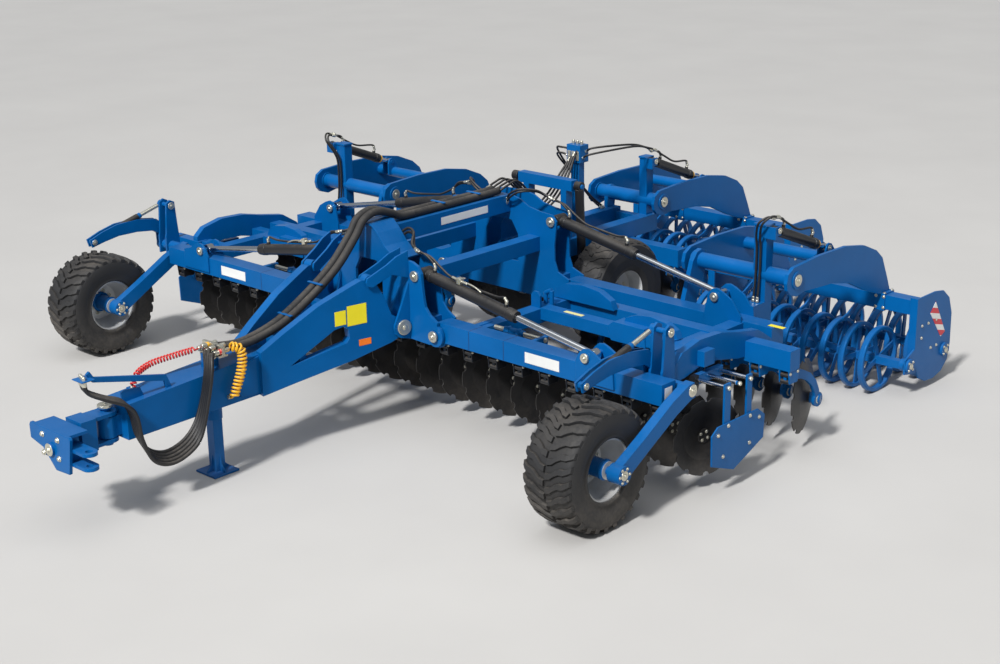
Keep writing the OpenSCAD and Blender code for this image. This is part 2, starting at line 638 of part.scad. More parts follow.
// Roller frame: two arc arms, cross tubes, end plates, drawn between x0 and x1 with arms at xa
module roller_frame(x0, x1, xa, x_cyl, dy, outer) {
    translate([0, dy, 0]) {
        for (x = xa) difference() {
            union() {
                plate_x(x - arc_t / 2, x + arc_t / 2, [
                    [3262, 1165], [3280, 1232], [3350, 1272], [3700, 1292], [4066, 1286], [4330, 1238], [4515, 1160],
                    [4612, 1080], [4636, 1030], [4700, 900], [4758, roll_tube_z + 60], [4640, roll_tube_z + 60],
                    [4540, 800], [4367, 866], [4120, 980], [3877, 1034], [3620, 1050], [3500, 1060], [3400, 1040],
                    [3310, 1070], [3275, 1110]
                ]);
                rod_x(x - arc_t / 2 - 8, x + arc_t / 2 + 8, roll_pivot_y, roll_pivot_z, 70);
            }
            rod_x(x - arc_t, x + arc_t, roll_pivot_y, roll_pivot_z, roll_pin_r + run);
        }
        rod_x(xa[0], xa[1], depth_rod[0] + 33, depth_rod[1] - 100, 48);
        // Fork of the depth cylinder's rod
        for (k = [-1, 1]) plate_x(x_cyl + k * 33 - 7, x_cyl + k * 33 + 7,
            [for (p = [[-47, -120], [-47, -10], [-27, 32], [0, 40], [29, 30], [73, -20], [93, -120]]) depth_rod + p]);
        for (k = [-1, 1]) rod_x(min(x_cyl + k * 21, x_cyl + k * 44), max(x_cyl + k * 21, x_cyl + k * 44),
            depth_rod[0], depth_rod[1], depth_pin_r);
        // Main tube with its clamp blocks
        box([x0, roll_tube_y - 60, roll_tube_z - 60], [x1, roll_tube_y + 60, roll_tube_z + 60]);
        for (x = xa) box([x - 45, roll_tube_y - 72, roll_tube_z - 70], [x + 45, roll_tube_y + 72, roll_tube_z + 72]);
        // End plates with the bearing carriers and front flange
        for (x = [x0, x1 - 14]) {
            plate_x(x, x + 14, [
                [4620, 800], [4620, 250], [4700, 120], [4800, 70], [4930, 60], [5060, 90], [5150, 170],
                [5180, 300], [5175, 560], [5120, 700], [5020, 780], [4900, 800]
            ]);
            plate_x(x, x + 14, [[4470, roller_z + 60], [4470, roller_z - 60], [4640, roller_z - 90],
                [4640, roller_z + 130]]);
            box([x == x0 ? x0 : x1 - 66, 4610, 250], [x == x0 ? x0 + 66 : x1, 4624, 800]);
        }
        for (x = [x0, x1]) for (y = drum_y) rod_x(x == x0 ? x0 - 20 : x1 - 16, x == x0 ? x0 + 16 : x1 + 20, y,
            roller_z, 58);
        for (x = [x0, x1]) for (y = drum_y) rod_x(x == x0 ? x0 + 10 : x1 - 55, x == x0 ? x0 + 55 : x1 - 10, y,
            roller_z, axle_r);
        // Sloping struts under the tube
        for (x = outer) plate_x(x - 8, x + 8, [[4640, 655], [4520, 592], [4450, 574], [4452, 557], [4530, 560],
            [4605, 585], [4700, 655]]);
    }
}

// Drum: spaced rings on spokes round a square shaft
module drum(x0, x1, y, shift) {
    r = ring_d / 2;
    span = x1 - x0 - 150 - ring_w;
    step = span / ring_count;
    difference() {
        union() {
            box([x0 + 30, y - 32, roller_z - 32], [x1 - 30, y + 32, roller_z + 32]);
            for (x = [x0 + 24, x1 - 64]) rod_x(x, x + 40, y, roller_z, 50);
            for (i = [0:ring_count - 1]) translate([x0 + 75 + (i + shift) * step, y, roller_z])
                rotate([i * 22, 0, 0]) {
                    rotate([0, 90, 0]) rotate_extrude($fn = 32)
                        polygon([[r - 30, 0], [r - 6, 0], [r, 8], [r, ring_w - 8], [r - 6, ring_w], [r - 30, ring_w]]);
                    for (k = [0:3]) rotate([k * 90, 0, 0]) box([ring_w / 2 - 6, -22, 26], [ring_w / 2 + 6, 22, r - 20]);
                }
        }
        for (x = [x0, x1 - 70]) rod_x(x, x + 70, y, roller_z, axle_r + run);
    }
}

// Depth cylinder parts beside a column at x
module on_depth_line(x, dy) {
    translate([x, depth_base[0] + dy, depth_base[1]])
        rotate([atan2(depth_rod[1] - depth_base[1], depth_rod[0] - depth_base[0]), 0, 0]) children();
}

module depth_barrel(x, dy) {
    on_depth_line(x, dy) difference() {
        union() {
            rod_y(24, 64, 0, 0, 17);
            rod_y(58, depth_barrel_len, 0, 0, depth_barrel_r);
            rod_x(-20, 20, 0, 0, 32);
        }
        rod_x(-30, 30, 0, 0, depth_pin_r + run);
        rod_y(depth_len - depth_rod_len - 60, depth_barrel_len + 1, 0, 0, depth_rod_r + run);
    }
}

module depth_rod_part(x, dy) {
    on_depth_line(x, dy) difference() {
        union() {
            rod_y(depth_len - depth_rod_len, depth_len - 22, 0, 0, depth_rod_r);
            rod_x(-18, 18, depth_len, 0, 30);
        }
        rod_x(-30, 30, depth_len, 0, depth_pin_r + run);
    }
}

wing_x = [955, 2970];
wing_arms = [1686, 2621];
wing_cyl = 2450;
mid_x = [-925, 925];
mid_arms = [-365, 365];
mid_cyl = 280;
mid_column = 232;

module left_roller_frame() color(blue) roller_frame(wing_x[0], wing_x[1], wing_arms, wing_cyl, 0, [1400, 2000, 2400]);

module right_roller_frame() color(blue) mirror([1, 0, 0])
    roller_frame(wing_x[0], wing_x[1], wing_arms, wing_cyl, 0, [1400, 2000, 2400]);

module centre_roller_frame() color(blue)
    roller_frame(mid_x[0], mid_x[1], mid_arms, mid_cyl, centre_shift, [-600, 0, 600]);

module left_front_drum() color(blue) drum(wing_x[0], wing_x[1], drum_y[0], 0);

module left_rear_drum() color(blue) drum(wing_x[0], wing_x[1], drum_y[1], 0.5);

module right_front_drum() color(blue) mirror([1, 0, 0]) drum(wing_x[0], wing_x[1], drum_y[0], 0);

module right_rear_drum() color(blue) mirror([1, 0, 0]) drum(wing_x[0], wing_x[1], drum_y[1], 0.5);

module centre_front_drum() color(blue) drum(mid_x[0], mid_x[1], drum_y[0] + centre_shift, 0);

module centre_rear_drum() color(blue) drum(mid_x[0], mid_x[1], drum_y[1] + centre_shift, 0.5);

module left_depth_barrel() color(black) depth_barrel(wing_cyl, 0);

module left_depth_rod() color(chrome) depth_rod_part(wing_cyl, 0);

module right_depth_barrel() color(black) mirror([1, 0, 0]) depth_barrel(wing_cyl, 0);

module right_depth_rod() color(chrome) mirror([1, 0, 0]) depth_rod_part(wing_cyl, 0);

module centre_depth_barrel() color(black) depth_barrel(mid_cyl, centre_shift);

module centre_depth_rod() color(chrome) depth_rod_part(mid_cyl, centre_shift);

module left_front_fold_barrel() color(black) fold_barrel(front_base, front_rod, front_y);

module left_front_fold_rod() color(chrome) fold_rod(front_base, front_rod, front_y);

module left_rear_fold_barrel() color(black) fold_barrel(rear_base, rear_rod, rear_y);

module left_rear_fold_rod() color(chrome) fold_rod(rear_base, rear_rod, rear_y);

module right_front_fold_barrel() color(black) mirror([1, 0, 0]) fold_barrel(front_base, front_rod, front_y);

module right_front_fold_rod() color(chrome) mirror([1, 0, 0]) fold_rod(front_base, front_rod, front_y);

module right_rear_fold_barrel() color(black) mirror([1, 0, 0]) fold_barrel(rear_base, rear_rod, rear_y);

module right_rear_fold_rod() color(chrome) mirror([1, 0, 0]) fold_rod(rear_base, rear_rod, rear_y);

// Chassis behind the front tower: spine, lower tubes, rear tower, rear frame
module chassis_frame() color(blue) {
    inner = beam_w / 2 + plate_gap;
    y0 = front_y + inner + rear_plate_t;
    y1 = rear_y - inner - rear_plate_t;
    y2 = rear_y + inner + rear_plate_t;
    window = [[-180, 950], [-180, 1180], [-110, 1290], [110, 1290], [180, 1180], [180, 950]];
    difference() {
        union() {
            hinge_tower(rear_y, rear_tower_half, rear_base, window, rear_plate_t);
            box([-100, y0, 1360], [100, y1 + 2, 1500]);
            for (s = [-1, 1]) hand(s) box([300, y0, 1080], [420, y1 + 2, 1200]);
        }
        for (s = [-1, 1]) rod_y(y0 - 20, y0 + 16, s * front_base[0], front_base[1], 46);
    }
    // Rear frame rails with gang beam under them, long enough for the column and the pivot tube
    py = roll_pivot_y + centre_shift;
    mid_base = [depth_base[0] + centre_shift, depth_base[1]];
    rail_end = max(mid_base[0] + 95, py + 55);
    for (s = [-1, 1]) hand(s) {
        box([150, y2 - eps, 885], [270, rail_end, 1035]);
        plate_x(180, 196, [[y2 - eps, 1030], [y2 - eps, 1330], [3330, 1240], [3500, 1030]]);
        // Lugs of the transport axle
        plate_x(200, 222, [[3270, 890], [3270, 790], [3300, 764], [3330, 756], [3360, 764], [3400, 890]]);
    }
    rod_x(-305, 305, road_pivot[0], road_pivot[1], 30);
    box([-610, centre_gang_y - 60, beam_z0], [centre_gang_end, centre_gang_y + 60, 886]);
    box([-270, rail_end - 75, 885], [270, rail_end, 1000]);
    // Roller column, inner lug and fixed pivot tube
    roller_column(150, mid_column, 1030, 3, mid_base);
    plate_x(-250, -210, [[py - 60, 1030], [py - 50, 1200], [py - 10, 1235], [py + 40, 1230], [py + 60, 1165],
        [py + 40, 1030]]);
    rod_x(-335, 335, py, roll_pivot_z, 62);
    rod_x(-392, 392, py, roll_pivot_z, roll_pin_r);
    depth_fork(mid_column, mid_cyl, mid_base);
    // Valve post on its cross plate
    box([-151, 3950, 960], [151, 4030, 1030]);
    box([-45, 3955, 1029], [45, 4025, 1650]);
    box([-75, 3935, 1600], [75, 4045, 1750]);
    // Uprights and crosshead of the lift cylinders
    for (s = [-1, 1]) hand(s) box([180, 3560, 1034], [240, 3640, 1460]);
    box([-300, 3560, 1455], [300, 3640, 1545]);
    rod_x(-392, 392, lift_base[0], lift_base[1], 20);
}

// Transport axle: two arms on the pivot tube, joined by a cross tube, with stub axles
module transport_axle() color(blue) {
    for (s = [-1, 1]) hand(s) {
        difference() {
            union() {
                plate_x(318, 326, [[3600, 690], [3600, 790], [3620, 832], [3660, 832], [3690, 790], [3690, 640]]);
                plate_x(374, 382, [[3600, 690], [3600, 790], [3620, 832], [3660, 832], [3690, 790], [3690, 640]]);
                plate_x(310, 385, ribbon([[3300, 830, 100], [3420, 772, 110], [3640, 665, 110], [3800, 585, 110]]));
                rod_x(296, 388, road_pivot[0], road_pivot[1], 62);
            }
            rod_x(280, 400, road_pivot[0], road_pivot[1], 30 + run);
        }
        for (e = [[326, 333], [367, 374]]) rod_x(e[0] - eps, e[1] + eps, lift_pin[0], lift_pin[1], 16);
        rod_x(300, 392, road_hub[0], road_hub[1], 62);
        rod_x(380, road_x + 18, road_hub[0], road_hub[1], 30);
    }
    rod_x(-320, 320, road_hub[0], road_hub[1], 50);
}

// Road wheel: tyre and disc in one turned piece
module road_wheel() {
    w = road_w / 2;
    r = road_tyre_d / 2;
    translate([road_x, road_hub[0], road_hub[1]]) rotate([0, 90, 0]) difference() {
        union() {
            rotate_extrude($fn = 56) polygon([
                [205, -w * 0.8], [250, -w * 0.95], [330, -w], [r - 40, -w * 0.96], [r - 8, -w * 0.76], [r, -w * 0.4],
                [r, w * 0.4], [r - 8, w * 0.76], [r - 40, w * 0.96], [330, w], [250, w * 0.95], [205, w * 0.8],
                [190, 60], [190, -60]
            ]);
            translate([0, 0, -10]) cylinder(h = 20, r = 195, $fn = 40);
            translate([0, 0, -130]) cylinder(h = 190, r = 70, $fn = 36);
        }
        translate([0, 0, -300]) cylinder(h = 325, r = 30 + run, $fn = 40);
    }
}

module left_road_wheel() color(black) road_wheel();

module right_road_wheel() color(black) mirror([1, 0, 0]) road_wheel();

lift_len = norm(lift_pin - lift_base);
module on_lift_line() {
    translate([lift_x, lift_base[0], lift_base[1]])
        rotate([atan2(lift_pin[1] - lift_base[1], lift_pin[0] - lift_base[0]), 0, 0]) children();
}

module lift_barrels() color(black) for (s = [-1, 1]) hand(s) on_lift_line() difference() {
    union() {
        rod_y(24, lift_len - 90, 0, 0, 38);
        rod_x(-30, 30, 0, 0, 40);
    }
    rod_x(-40, 40, 0, 0, 20 + run);
    rod_y(110, lift_len - 89, 0, 0, 22 + run);
}

module lift_rods() color(chrome) for (s = [-1, 1]) hand(s) on_lift_line() difference() {
    union() {
        rod_y(150, lift_len - 22, 0, 0, 22);
        rod_x(-15, 15, lift_len, 0, 30);
    }
    rod_x(-30, 30, lift_len, 0, 16 + run);
}

// Hitch swivel: upright pin in the boss, two ears and the block with the roll bore
module hitch_swivel() color(blue) {
    rod_z(480, 745, 0, -880, 35);
    rod_z(745, 765, 0, -880, 52);
    for (z = [[508, 534], [696, 722]]) {
        rod_z(z[0], z[1], 0, -880, 74);
        box([-74, -1100, z[0]], [74, -880, z[1]]);
    }
    difference() {
        box([-90, -1130, 500], [90, -1012, 724]);
        rod_y(-1131, -1011, 0, 610, 40 + run);
    }
}

// Hitch head: roll shaft, body, front plate, top plate and side bracket with two lugs
module hitch_head() color(blue) {
    rod_y(-1160, -1016, 0, 610, 40);
    rod_y(-1170, -1140, 0, 610, 68);
    box([-110, -1292, 500], [110, -1168, 692]);
    plate_y(-1312, -1290, [[-240, 598], [-97, 566], [38, 438], [195, 446], [239, 696], [225, 712], [-228, 712],
        [-242, 690]]);
    box([-200, -1300, 690], [200, -1150, 712]);
    rod_y(-1330, -1311, 0, 576, 45);
    difference() {
        union() {
            box([109, -1290, 500], [330, -1180, 524]);
            box([109, -1290, 600], [330, -1180, 624]);
            for (z = [[500, 524], [600, 624]]) rod_z(z[0], z[1], 330, -1235, 55);
            box([109, -1290, 500], [180, -1180, 624]);
        }
        rod_z(490, 640, 330, -1235, 25.5);
    }
}

module jack_leg() color(blue) {
    box([-jack_w / 2, -jack_w / 2, 60], [jack_w / 2, jack_w / 2, 640]);
    box([-110, -110, 0], [110, 110, 14]);
    for (a = [0, 90]) rotate([0, 0, a]) plate_x(-5, 5, [[-100, 13], [-58, 60], [-38, 150], [38, 150], [58, 60],
        [100, 13]]);
    box([-40, -40, 13], [40, 40, 61]);
}

// Coupler holder on the drawbar
module coupler_rack() color(zinc) {
    box([-56, -40, 905], [165, 40, 917]);
    for (i = [0:4]) rod_y(-46, 62, -40 + i * 45, 940 + (i % 2) * 26, 17);
    box([-62, -6, 915], [165, 18, 985]);
}

// Hydraulic hoses: loop at the nose and the sleeved bundle up to the tower
module black_hoses() color(black) {
    for (k = [0:2]) {
        x0 = 50 + 45 * k;
        x1 = 154 + 36 * k;
        x2 = 56 + 38 * k;
        drop = 34 * k;
        hose([[x0, -46, 940 + (k % 2) * 26], [x0, -62, 940 + (k % 2) * 26], [x0 + (x1 - x0) * 0.5, -112, 944], [x1, -152, 850], [x1, -196, 660],
            [x1, -280, 480 - drop], [x1, -400, 385 - drop], [x1, -550, 360 - drop], [x1, -680, 425 - drop],
            [x1, -756, 560 - drop / 2], [x1, -784, 700], [x1, -850, 820 - drop / 3],
            [x1 - (x1 - x2) * 0.4, -968 - drop / 3, 874], [x2, -1056 - drop / 3, 930], [x2, -1078 - drop / 3, 1010]],
            14);
    }
    for (k = [-1, 1]) hose([
        [k * 28 + 20, 66, 930], [k * 30 + 15, 300, 905], [k * 34, 620, 960], [k * 36, 900, 1090],
        [k * 36, 1180, 1265], [k * 36, 1380, 1462], [k * 36, 1460, 1568], [k * 36, 1545, 1612], [k * 36, 1640, 1616],
        [k * 36, 1760, 1580], [k * 36, 1860, 1538], [k * 36, 2000, 1533]
    ], 30);
}

module yellow_coil_hose() color([0.95, 0.72, 0.05])
    hose(bez([160, 72, 966], [200, 220, 1010], [235, 170, 760], [200, 40, 610], 8), 34, [1, 0.05, 0.1], 10);

module red_coil_hose() color([0.8, 0.1, 0.08])
    hose(concat([[-40, -46, 940]], bez([-40, -76, 940], [-50, -330, 940], [-170, -500, 900], [-75, -600, 850], 7),
        [[-75, -600, 792]]), 24, [1, 0.3, 0], 10);

drawbar();
front_tower();
chassis_frame();
centre_disc_arms();
centre_discs();
black_hoses();
coupler_rack();
yellow_coil_hose();
red_coil_hose();
hitch_swivel();
hitch_head();
jack_leg();
left_wing_frame();
left_disc_arms();
left_discs();
left_wheel_leg();
left_wheel_rim();
left_wheel_tyre();
right_wing_frame();
right_disc_arms();
right_discs();
right_wheel_leg();
right_wheel_rim();
right_wheel_tyre();
left_front_fold_barrel();
left_front_fold_rod();
left_rear_fold_barrel();
left_rear_fold_rod();
right_front_fold_barrel();
right_front_fold_rod();
right_rear_fold_barrel();
right_rear_fold_rod();
left_roller_frame();
left_front_drum();
left_rear_drum();
left_depth_barrel();
left_depth_rod();
right_roller_frame();
right_front_drum();
right_rear_drum();
right_depth_barrel();
right_depth_rod();
centre_roller_frame();
centre_front_drum();
centre_rear_drum();
centre_depth_barrel();
centre_depth_rod();
transport_axle();
left_road_wheel();
right_road_wheel();
lift_barrels();
lift_rods();
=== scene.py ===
import math

import bpy
from mathutils import Matrix, Vector


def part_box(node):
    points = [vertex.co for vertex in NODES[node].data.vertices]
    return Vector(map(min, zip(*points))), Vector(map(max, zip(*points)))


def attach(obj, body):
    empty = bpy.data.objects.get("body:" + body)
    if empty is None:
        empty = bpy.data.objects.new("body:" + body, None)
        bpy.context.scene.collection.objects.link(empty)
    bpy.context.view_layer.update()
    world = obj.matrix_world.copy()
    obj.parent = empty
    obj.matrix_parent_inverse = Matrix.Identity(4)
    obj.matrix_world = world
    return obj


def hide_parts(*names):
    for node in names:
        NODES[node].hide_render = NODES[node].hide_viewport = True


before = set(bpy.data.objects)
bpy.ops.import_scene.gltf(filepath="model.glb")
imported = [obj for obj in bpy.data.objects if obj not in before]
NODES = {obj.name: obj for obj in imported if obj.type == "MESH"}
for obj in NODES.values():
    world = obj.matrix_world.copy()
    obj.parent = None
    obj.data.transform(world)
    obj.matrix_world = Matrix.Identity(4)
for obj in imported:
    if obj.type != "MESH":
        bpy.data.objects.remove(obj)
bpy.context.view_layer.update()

# Colours in linear values

BLUE = (0.0010, 0.095, 0.305, 1)
BLUE_WORN = (0.009, 0.14, 0.38, 1)
BLACK = (0.012, 0.012, 0.013, 1)
NEAR_BLACK = (0.010, 0.010, 0.011, 1)
RUBBER = (0.016, 0.016, 0.017, 1)
WORN_RUBBER = (0.05, 0.05, 0.05, 1)
SILVER = (0.55, 0.56, 0.56, 1)
WORN_WHITE = (0.6, 0.6, 0.6, 1)
DUST = (0.34, 0.29, 0.23, 1)


# Helpers for shader and geometry nodes

def feed(tree, node, inputs):
    """Sets or links a node's inputs by their names; its outputs come back."""
    for label, value in inputs.items():
        if isinstance(value, bpy.types.NodeSocket):
            tree.links.new(value, node.inputs[label])
        else:
            node.inputs[label].default_value = value
    return node.outputs


def tree_node(tree, kind, inputs):
    return feed(tree, tree.nodes.new(kind), inputs)


def new_group(name, inputs, outputs):
    group = bpy.data.node_groups.new(name, "ShaderNodeTree")
    for label, value in inputs.items():
        sock = group.interface.new_socket(name=label, in_out="INPUT", socket_type="NodeSocketFloat")
        sock.default_value = value
    for label, kind in outputs.items():
        group.interface.new_socket(name=label, in_out="OUTPUT", socket_type=kind)
    return group, group.nodes.new("NodeGroupInput").outputs, group.nodes.new("NodeGroupOutput")


def math_node(tree, operation, a, b=None, clamp=False):
    node = tree.nodes.new("ShaderNodeMath")
    node.operation = operation
    node.use_clamp = clamp
    for i, value in enumerate((a, b)):
        if isinstance(value, bpy.types.NodeSocket):
            tree.links.new(value, node.inputs[i])
        elif value is not None:
            node.inputs[i].default_value = value
    return node.outputs[0]


def vector_node(tree, operation, first, label, second):
    node = tree.nodes.new("ShaderNodeVectorMath")
    node.operation = operation
    tree.links.new(first, node.inputs[0])
    tree.links.new(second, node.inputs[label])
    return node.outputs


def object_place(tree):
    return tree_node(tree, "ShaderNodeTexCoord", {})["Object"]


def ramp(tree, value, low, high):
    inputs = {"Value": value, "From Min": low, "From Max": high}
    return tree_node(tree, "ShaderNodeMapRange", inputs)["Result"]


def noise(tree, vector, scale, detail=3.0, rough=0.6):
    inputs = {"Vector": vector, "Scale": scale, "Detail": detail, "Roughness": rough}
    return tree_node(tree, "ShaderNodeTexNoise", inputs)["Fac"]


def mix_colour(tree, fac, a, b):
    node = tree.nodes.new("ShaderNodeMix")
    node.data_type = "RGBA"
    for socket, v in ((node.inputs[0], fac), (node.inputs[6], a), (node.inputs[7], b)):
        if isinstance(v, (tuple, float, int)):
            socket.default_value = v
        else:
            tree.links.new(v, socket)
    return node.outputs[2]


# Shader node groups, each built once

def edge_wear_group():
    """Patches along the sharp edges, and the rounded normal."""
    inputs = {"Radius": 0.006, "Amount": 0.5, "Patch Scale": 9.0}
    outputs = {"Mask": "NodeSocketFloat", "Normal": "NodeSocketVector"}
    group, given, out = new_group("edge wear", inputs, outputs)
    bevel = group.nodes.new("ShaderNodeBevel")
    bevel.samples = 4
    rounded = feed(group, bevel, {"Radius": given["Radius"]})[0]
    normal = tree_node(group, "ShaderNodeNewGeometry", {})["Normal"]
    dot = vector_node(group, "DOT_PRODUCT", rounded, 1, normal)["Value"]
    edge = ramp(group, math_node(group, "SUBTRACT", 1.0, dot), 0.02, 0.22)
    place = vector_node(group, "SCALE", object_place(group), "Scale", given["Patch Scale"])[0]
    patch = ramp(group, noise(group, place, 1.0, 5.0, 0.7), 0.47, 0.6)
    worn = math_node(group, "MULTIPLY", edge, patch)
    mask = math_node(group, "MULTIPLY", worn, given["Amount"], clamp=True)
    feed(group, out, {"Mask": mask, "Normal": rounded})
    return group


def yard_dust_group():
    """Pale dust that lies on upward faces and climbs from the ground."""
    inputs = {"Top Dust": 0.25, "Low Dust": 0.4}
    group, given, out = new_group("yard dust", inputs, {"Mask": "NodeSocketFloat"})
    place = object_place(group)
    normal = tree_node(group, "ShaderNodeNewGeometry", {})["Normal"]
    up = ramp(group, tree_node(group, "ShaderNodeSeparateXYZ", {"Vector": normal})["Z"], 0.35, 1.0)
    low = ramp(group, tree_node(group, "ShaderNodeSeparateXYZ", {"Vector": place})["Z"], 0.55, 0.0)
    cloud = ramp(group, noise(group, place, 3.4, 6.0, 0.65), 0.35, 0.75)
    speck = ramp(group, noise(group, place, 46.0), 0.4, 0.7)
    top = math_node(group, "MULTIPLY", up, given["Top Dust"])
    ground = math_node(group, "MULTIPLY", low, given["Low Dust"])
    both = math_node(group, "ADD", top, ground)
    cover = math_node(group, "ADD", cloud, math_node(group, "MULTIPLY", speck, 0.4))
    feed(group, out, {"Mask": math_node(group, "MULTIPLY", both, cover, clamp=True)})
    return group


def fine_grain_group():
    """Fine grain for the bump, and broad clouds for shade and roughness."""
    outputs = {"Value": "NodeSocketFloat", "Broad": "NodeSocketFloat"}
    group, given, out = new_group("fine grain", {"Scale": 220.0}, outputs)
    place = object_place(group)
    fine = vector_node(group, "SCALE", place, "Scale", given["Scale"])[0]
    values = {"Value": noise(group, fine, 1.0, 2.0, 0.5), "Broad": noise(group, place, 1.7, 4.0)}
    feed(group, out, values)
    return group


EDGE_WEAR = edge_wear_group()
YARD_DUST = yard_dust_group()
FINE_GRAIN = fine_grain_group()


def group_node(tree, group, inputs):
    node = tree.nodes.new("ShaderNodeGroup")
    node.node_tree = group
    return feed(tree, node, inputs)


def surface(name, colour, worn, rough, metal=0.0, wear=0.5, top=0.25, low=0.4, grain=220.0, bump=0.15,
            radius=0.006, coat=0.0, shade=0.12, dust=DUST, patch=9.0, gloss=0.5, tint=(1, 1, 1, 1)):
    """Finish with broad shade change, worn edges, dust and a fine grain."""
    mat = bpy.data.materials.new(name)
    mat.use_nodes = True
    tree = mat.node_tree
    bsdf = tree.nodes["Principled BSDF"]
    edge = group_node(tree, EDGE_WEAR, {"Radius": radius, "Amount": wear, "Patch Scale": patch})
    dirt = group_node(tree, YARD_DUST, {"Top Dust": top, "Low Dust": low})
    fine = group_node(tree, FINE_GRAIN, {"Scale": grain})
    dark = tuple(c * (1 - shade) for c in colour[:3]) + (1,)
    light = tuple(min(1, c * (1 + shade)) for c in colour[:3]) + (1,)
    base = mix_colour(tree, ramp(tree, fine["Broad"], 0.3, 0.7), dark, light)
    base = mix_colour(tree, edge["Mask"], base, worn)
    base = mix_colour(tree, dirt["Mask"], base, dust)
    level = math_node(tree, "ADD", rough - 0.05, math_node(tree, "MULTIPLY", fine["Broad"], 0.1))
    level = math_node(tree, "ADD", level, math_node(tree, "MULTIPLY", dirt["Mask"], 0.4), clamp=True)
    grainy = {"Strength": bump, "Distance": 0.001, "Height": fine["Value"], "Normal": edge["Normal"]}
    feed(tree, bsdf, {"Base Color": base, "Roughness": level, "Metallic": metal, "Coat Weight": coat,
                      "Coat Roughness": 0.12, "Specular IOR Level": gloss, "Specular Tint": tint,
                      "Normal": tree_node(tree, "ShaderNodeBump", grainy)["Normal"]})
    return mat


# Finishes

BLUE_SETTING = dict(rough=0.30, wear=0.6, coat=0.03, top=0.06, low=0.07, gloss=0.26,
        tint=(0.25, 0.55, 1.0, 1))
PAINT_BLUE = surface("blue gloss paint", BLUE, BLUE_WORN, **BLUE_SETTING)
PAINT_BLACK = surface("black satin paint", BLACK, (0.12, 0.12, 0.12, 1), 0.38, wear=0.6, top=0.15,
                      low=0.1)
DISC_STEEL = surface("dark disc steel", NEAR_BLACK, (0.10, 0.095, 0.09, 1), 0.42, wear=0.8,
                     top=0.1, low=0.15, bump=0.3)
CHROME = surface("chromed rod", (0.62, 0.64, 0.66, 1), (0.7, 0.7, 0.7, 1), 0.14, metal=1.0, wear=0.2,
        top=0.05, low=0.0, bump=0.02)
ZINC = surface("yellowish zinc plating", (0.62, 0.60, 0.50, 1), (0.75, 0.74, 0.68, 1), 0.34, metal=0.85,
               wear=0.5, top=0.1, low=0.1, patch=30)
HOSE = surface("black hose rubber", NEAR_BLACK, WORN_RUBBER, 0.5, wear=0.3, bump=0.3, low=0.1)
YELLOW = surface("yellow coil hose", (0.80, 0.42, 0.015, 1), (0.85, 0.55, 0.1, 1), 0.32, wear=0.1, low=0.1)
RED = surface("red coil hose", (0.60, 0.02, 0.02, 1), (0.7, 0.1, 0.08, 1), 0.32, wear=0.1, low=0.1)
TYRE = surface("tyre rubber", RUBBER, WORN_RUBBER, 0.68, wear=0.4, bump=0.5, top=0.16, low=0.24,
               radius=0.004)
SLEEVE = surface("woven hose sleeve", (0.018, 0.018, 0.019, 1), WORN_RUBBER, 0.75, wear=0.1, bump=0.8,
                 grain=420.0)
WHITE = surface("white sticker", (0.72, 0.72, 0.70, 1), WORN_WHITE, 0.35, wear=0.0, top=0.1, low=0.1,
                bump=0.02)
BRIGHT_YELLOW = surface("yellow sticker", (0.85, 0.72, 0.02, 1), (0.8, 0.7, 0.2, 1), 0.35, wear=0.0,
        bump=0.02)
PALE_YELLOW = surface("pale yellow sticker", (0.75, 0.70, 0.30, 1), (0.8, 0.7, 0.2, 1), 0.4, wear=0.0,
        bump=0.02)
ORANGE = surface("orange reflector", (0.90, 0.20, 0.02, 1), (0.8, 0.3, 0.1, 1), 0.15, wear=0.0, bump=0.05,
        grain=600.0)
# Dark blue painted shadow for the lines where the beam sleeves end
SEAM_SHADOW = surface("painted shadow line at joints", (0.002, 0.02, 0.10, 1), (0.01, 0.03, 0.1, 1), 0.6, wear=0.0, bump=0.02)
RIM = surface("silver rim paint", SILVER, (0.4, 0.4, 0.4, 1), 0.36, metal=0.25, wear=0.4, low=0.3)


def open_base(mat):
    """Tree, place on the object, base colour socket and what feeds it until now."""
    tree = mat.node_tree
    place = tree_node(tree, "ShaderNodeSeparateXYZ", {"Vector": object_place(tree)})
    base = tree.nodes["Principled BSDF"].inputs["Base Color"]
    return tree, place, base, base.links[0].from_socket


# Where the front disc rows end towards the back and towards each side, in metres; the black painted shade
# under the front beams ends there
FRONT_ROWS_END, FRONT_ROWS_SIDE = 2.09, 2.80


def arm_paint_with_painted_shade():
    """Blue paint, with black painted shade on the clamps and arms of the front disc rows, which lie in
    shade under the front beams.
    """
    mat = surface("blue arm paint with black painted shade", BLUE, BLUE_WORN, **BLUE_SETTING)
    tree, place, base, old = open_base(mat)
    ahead = math_node(tree, "LESS_THAN", place["Y"], FRONT_ROWS_END)
    inside = math_node(tree, "LESS_THAN", math_node(tree, "ABSOLUTE", place["X"]), FRONT_ROWS_SIDE)
    front = math_node(tree, "MULTIPLY", ahead, inside)
    # Black painted shade over the front rows' clamps and arms
    tree.links.new(mix_colour(tree, front, old, BLACK), base)
    return mat


# Road wheels: axle, radii where tyre, rim and hub meet, and the tyre's side place, radius and half width
ROAD_HUB = (3.800, 0.585)
ROAD_RIM_R, ROAD_HUB_R = 0.2055, 0.071
ROAD_X, ROAD_TYRE_R, ROAD_TREAD_HALF = 0.568, 0.465, 0.162


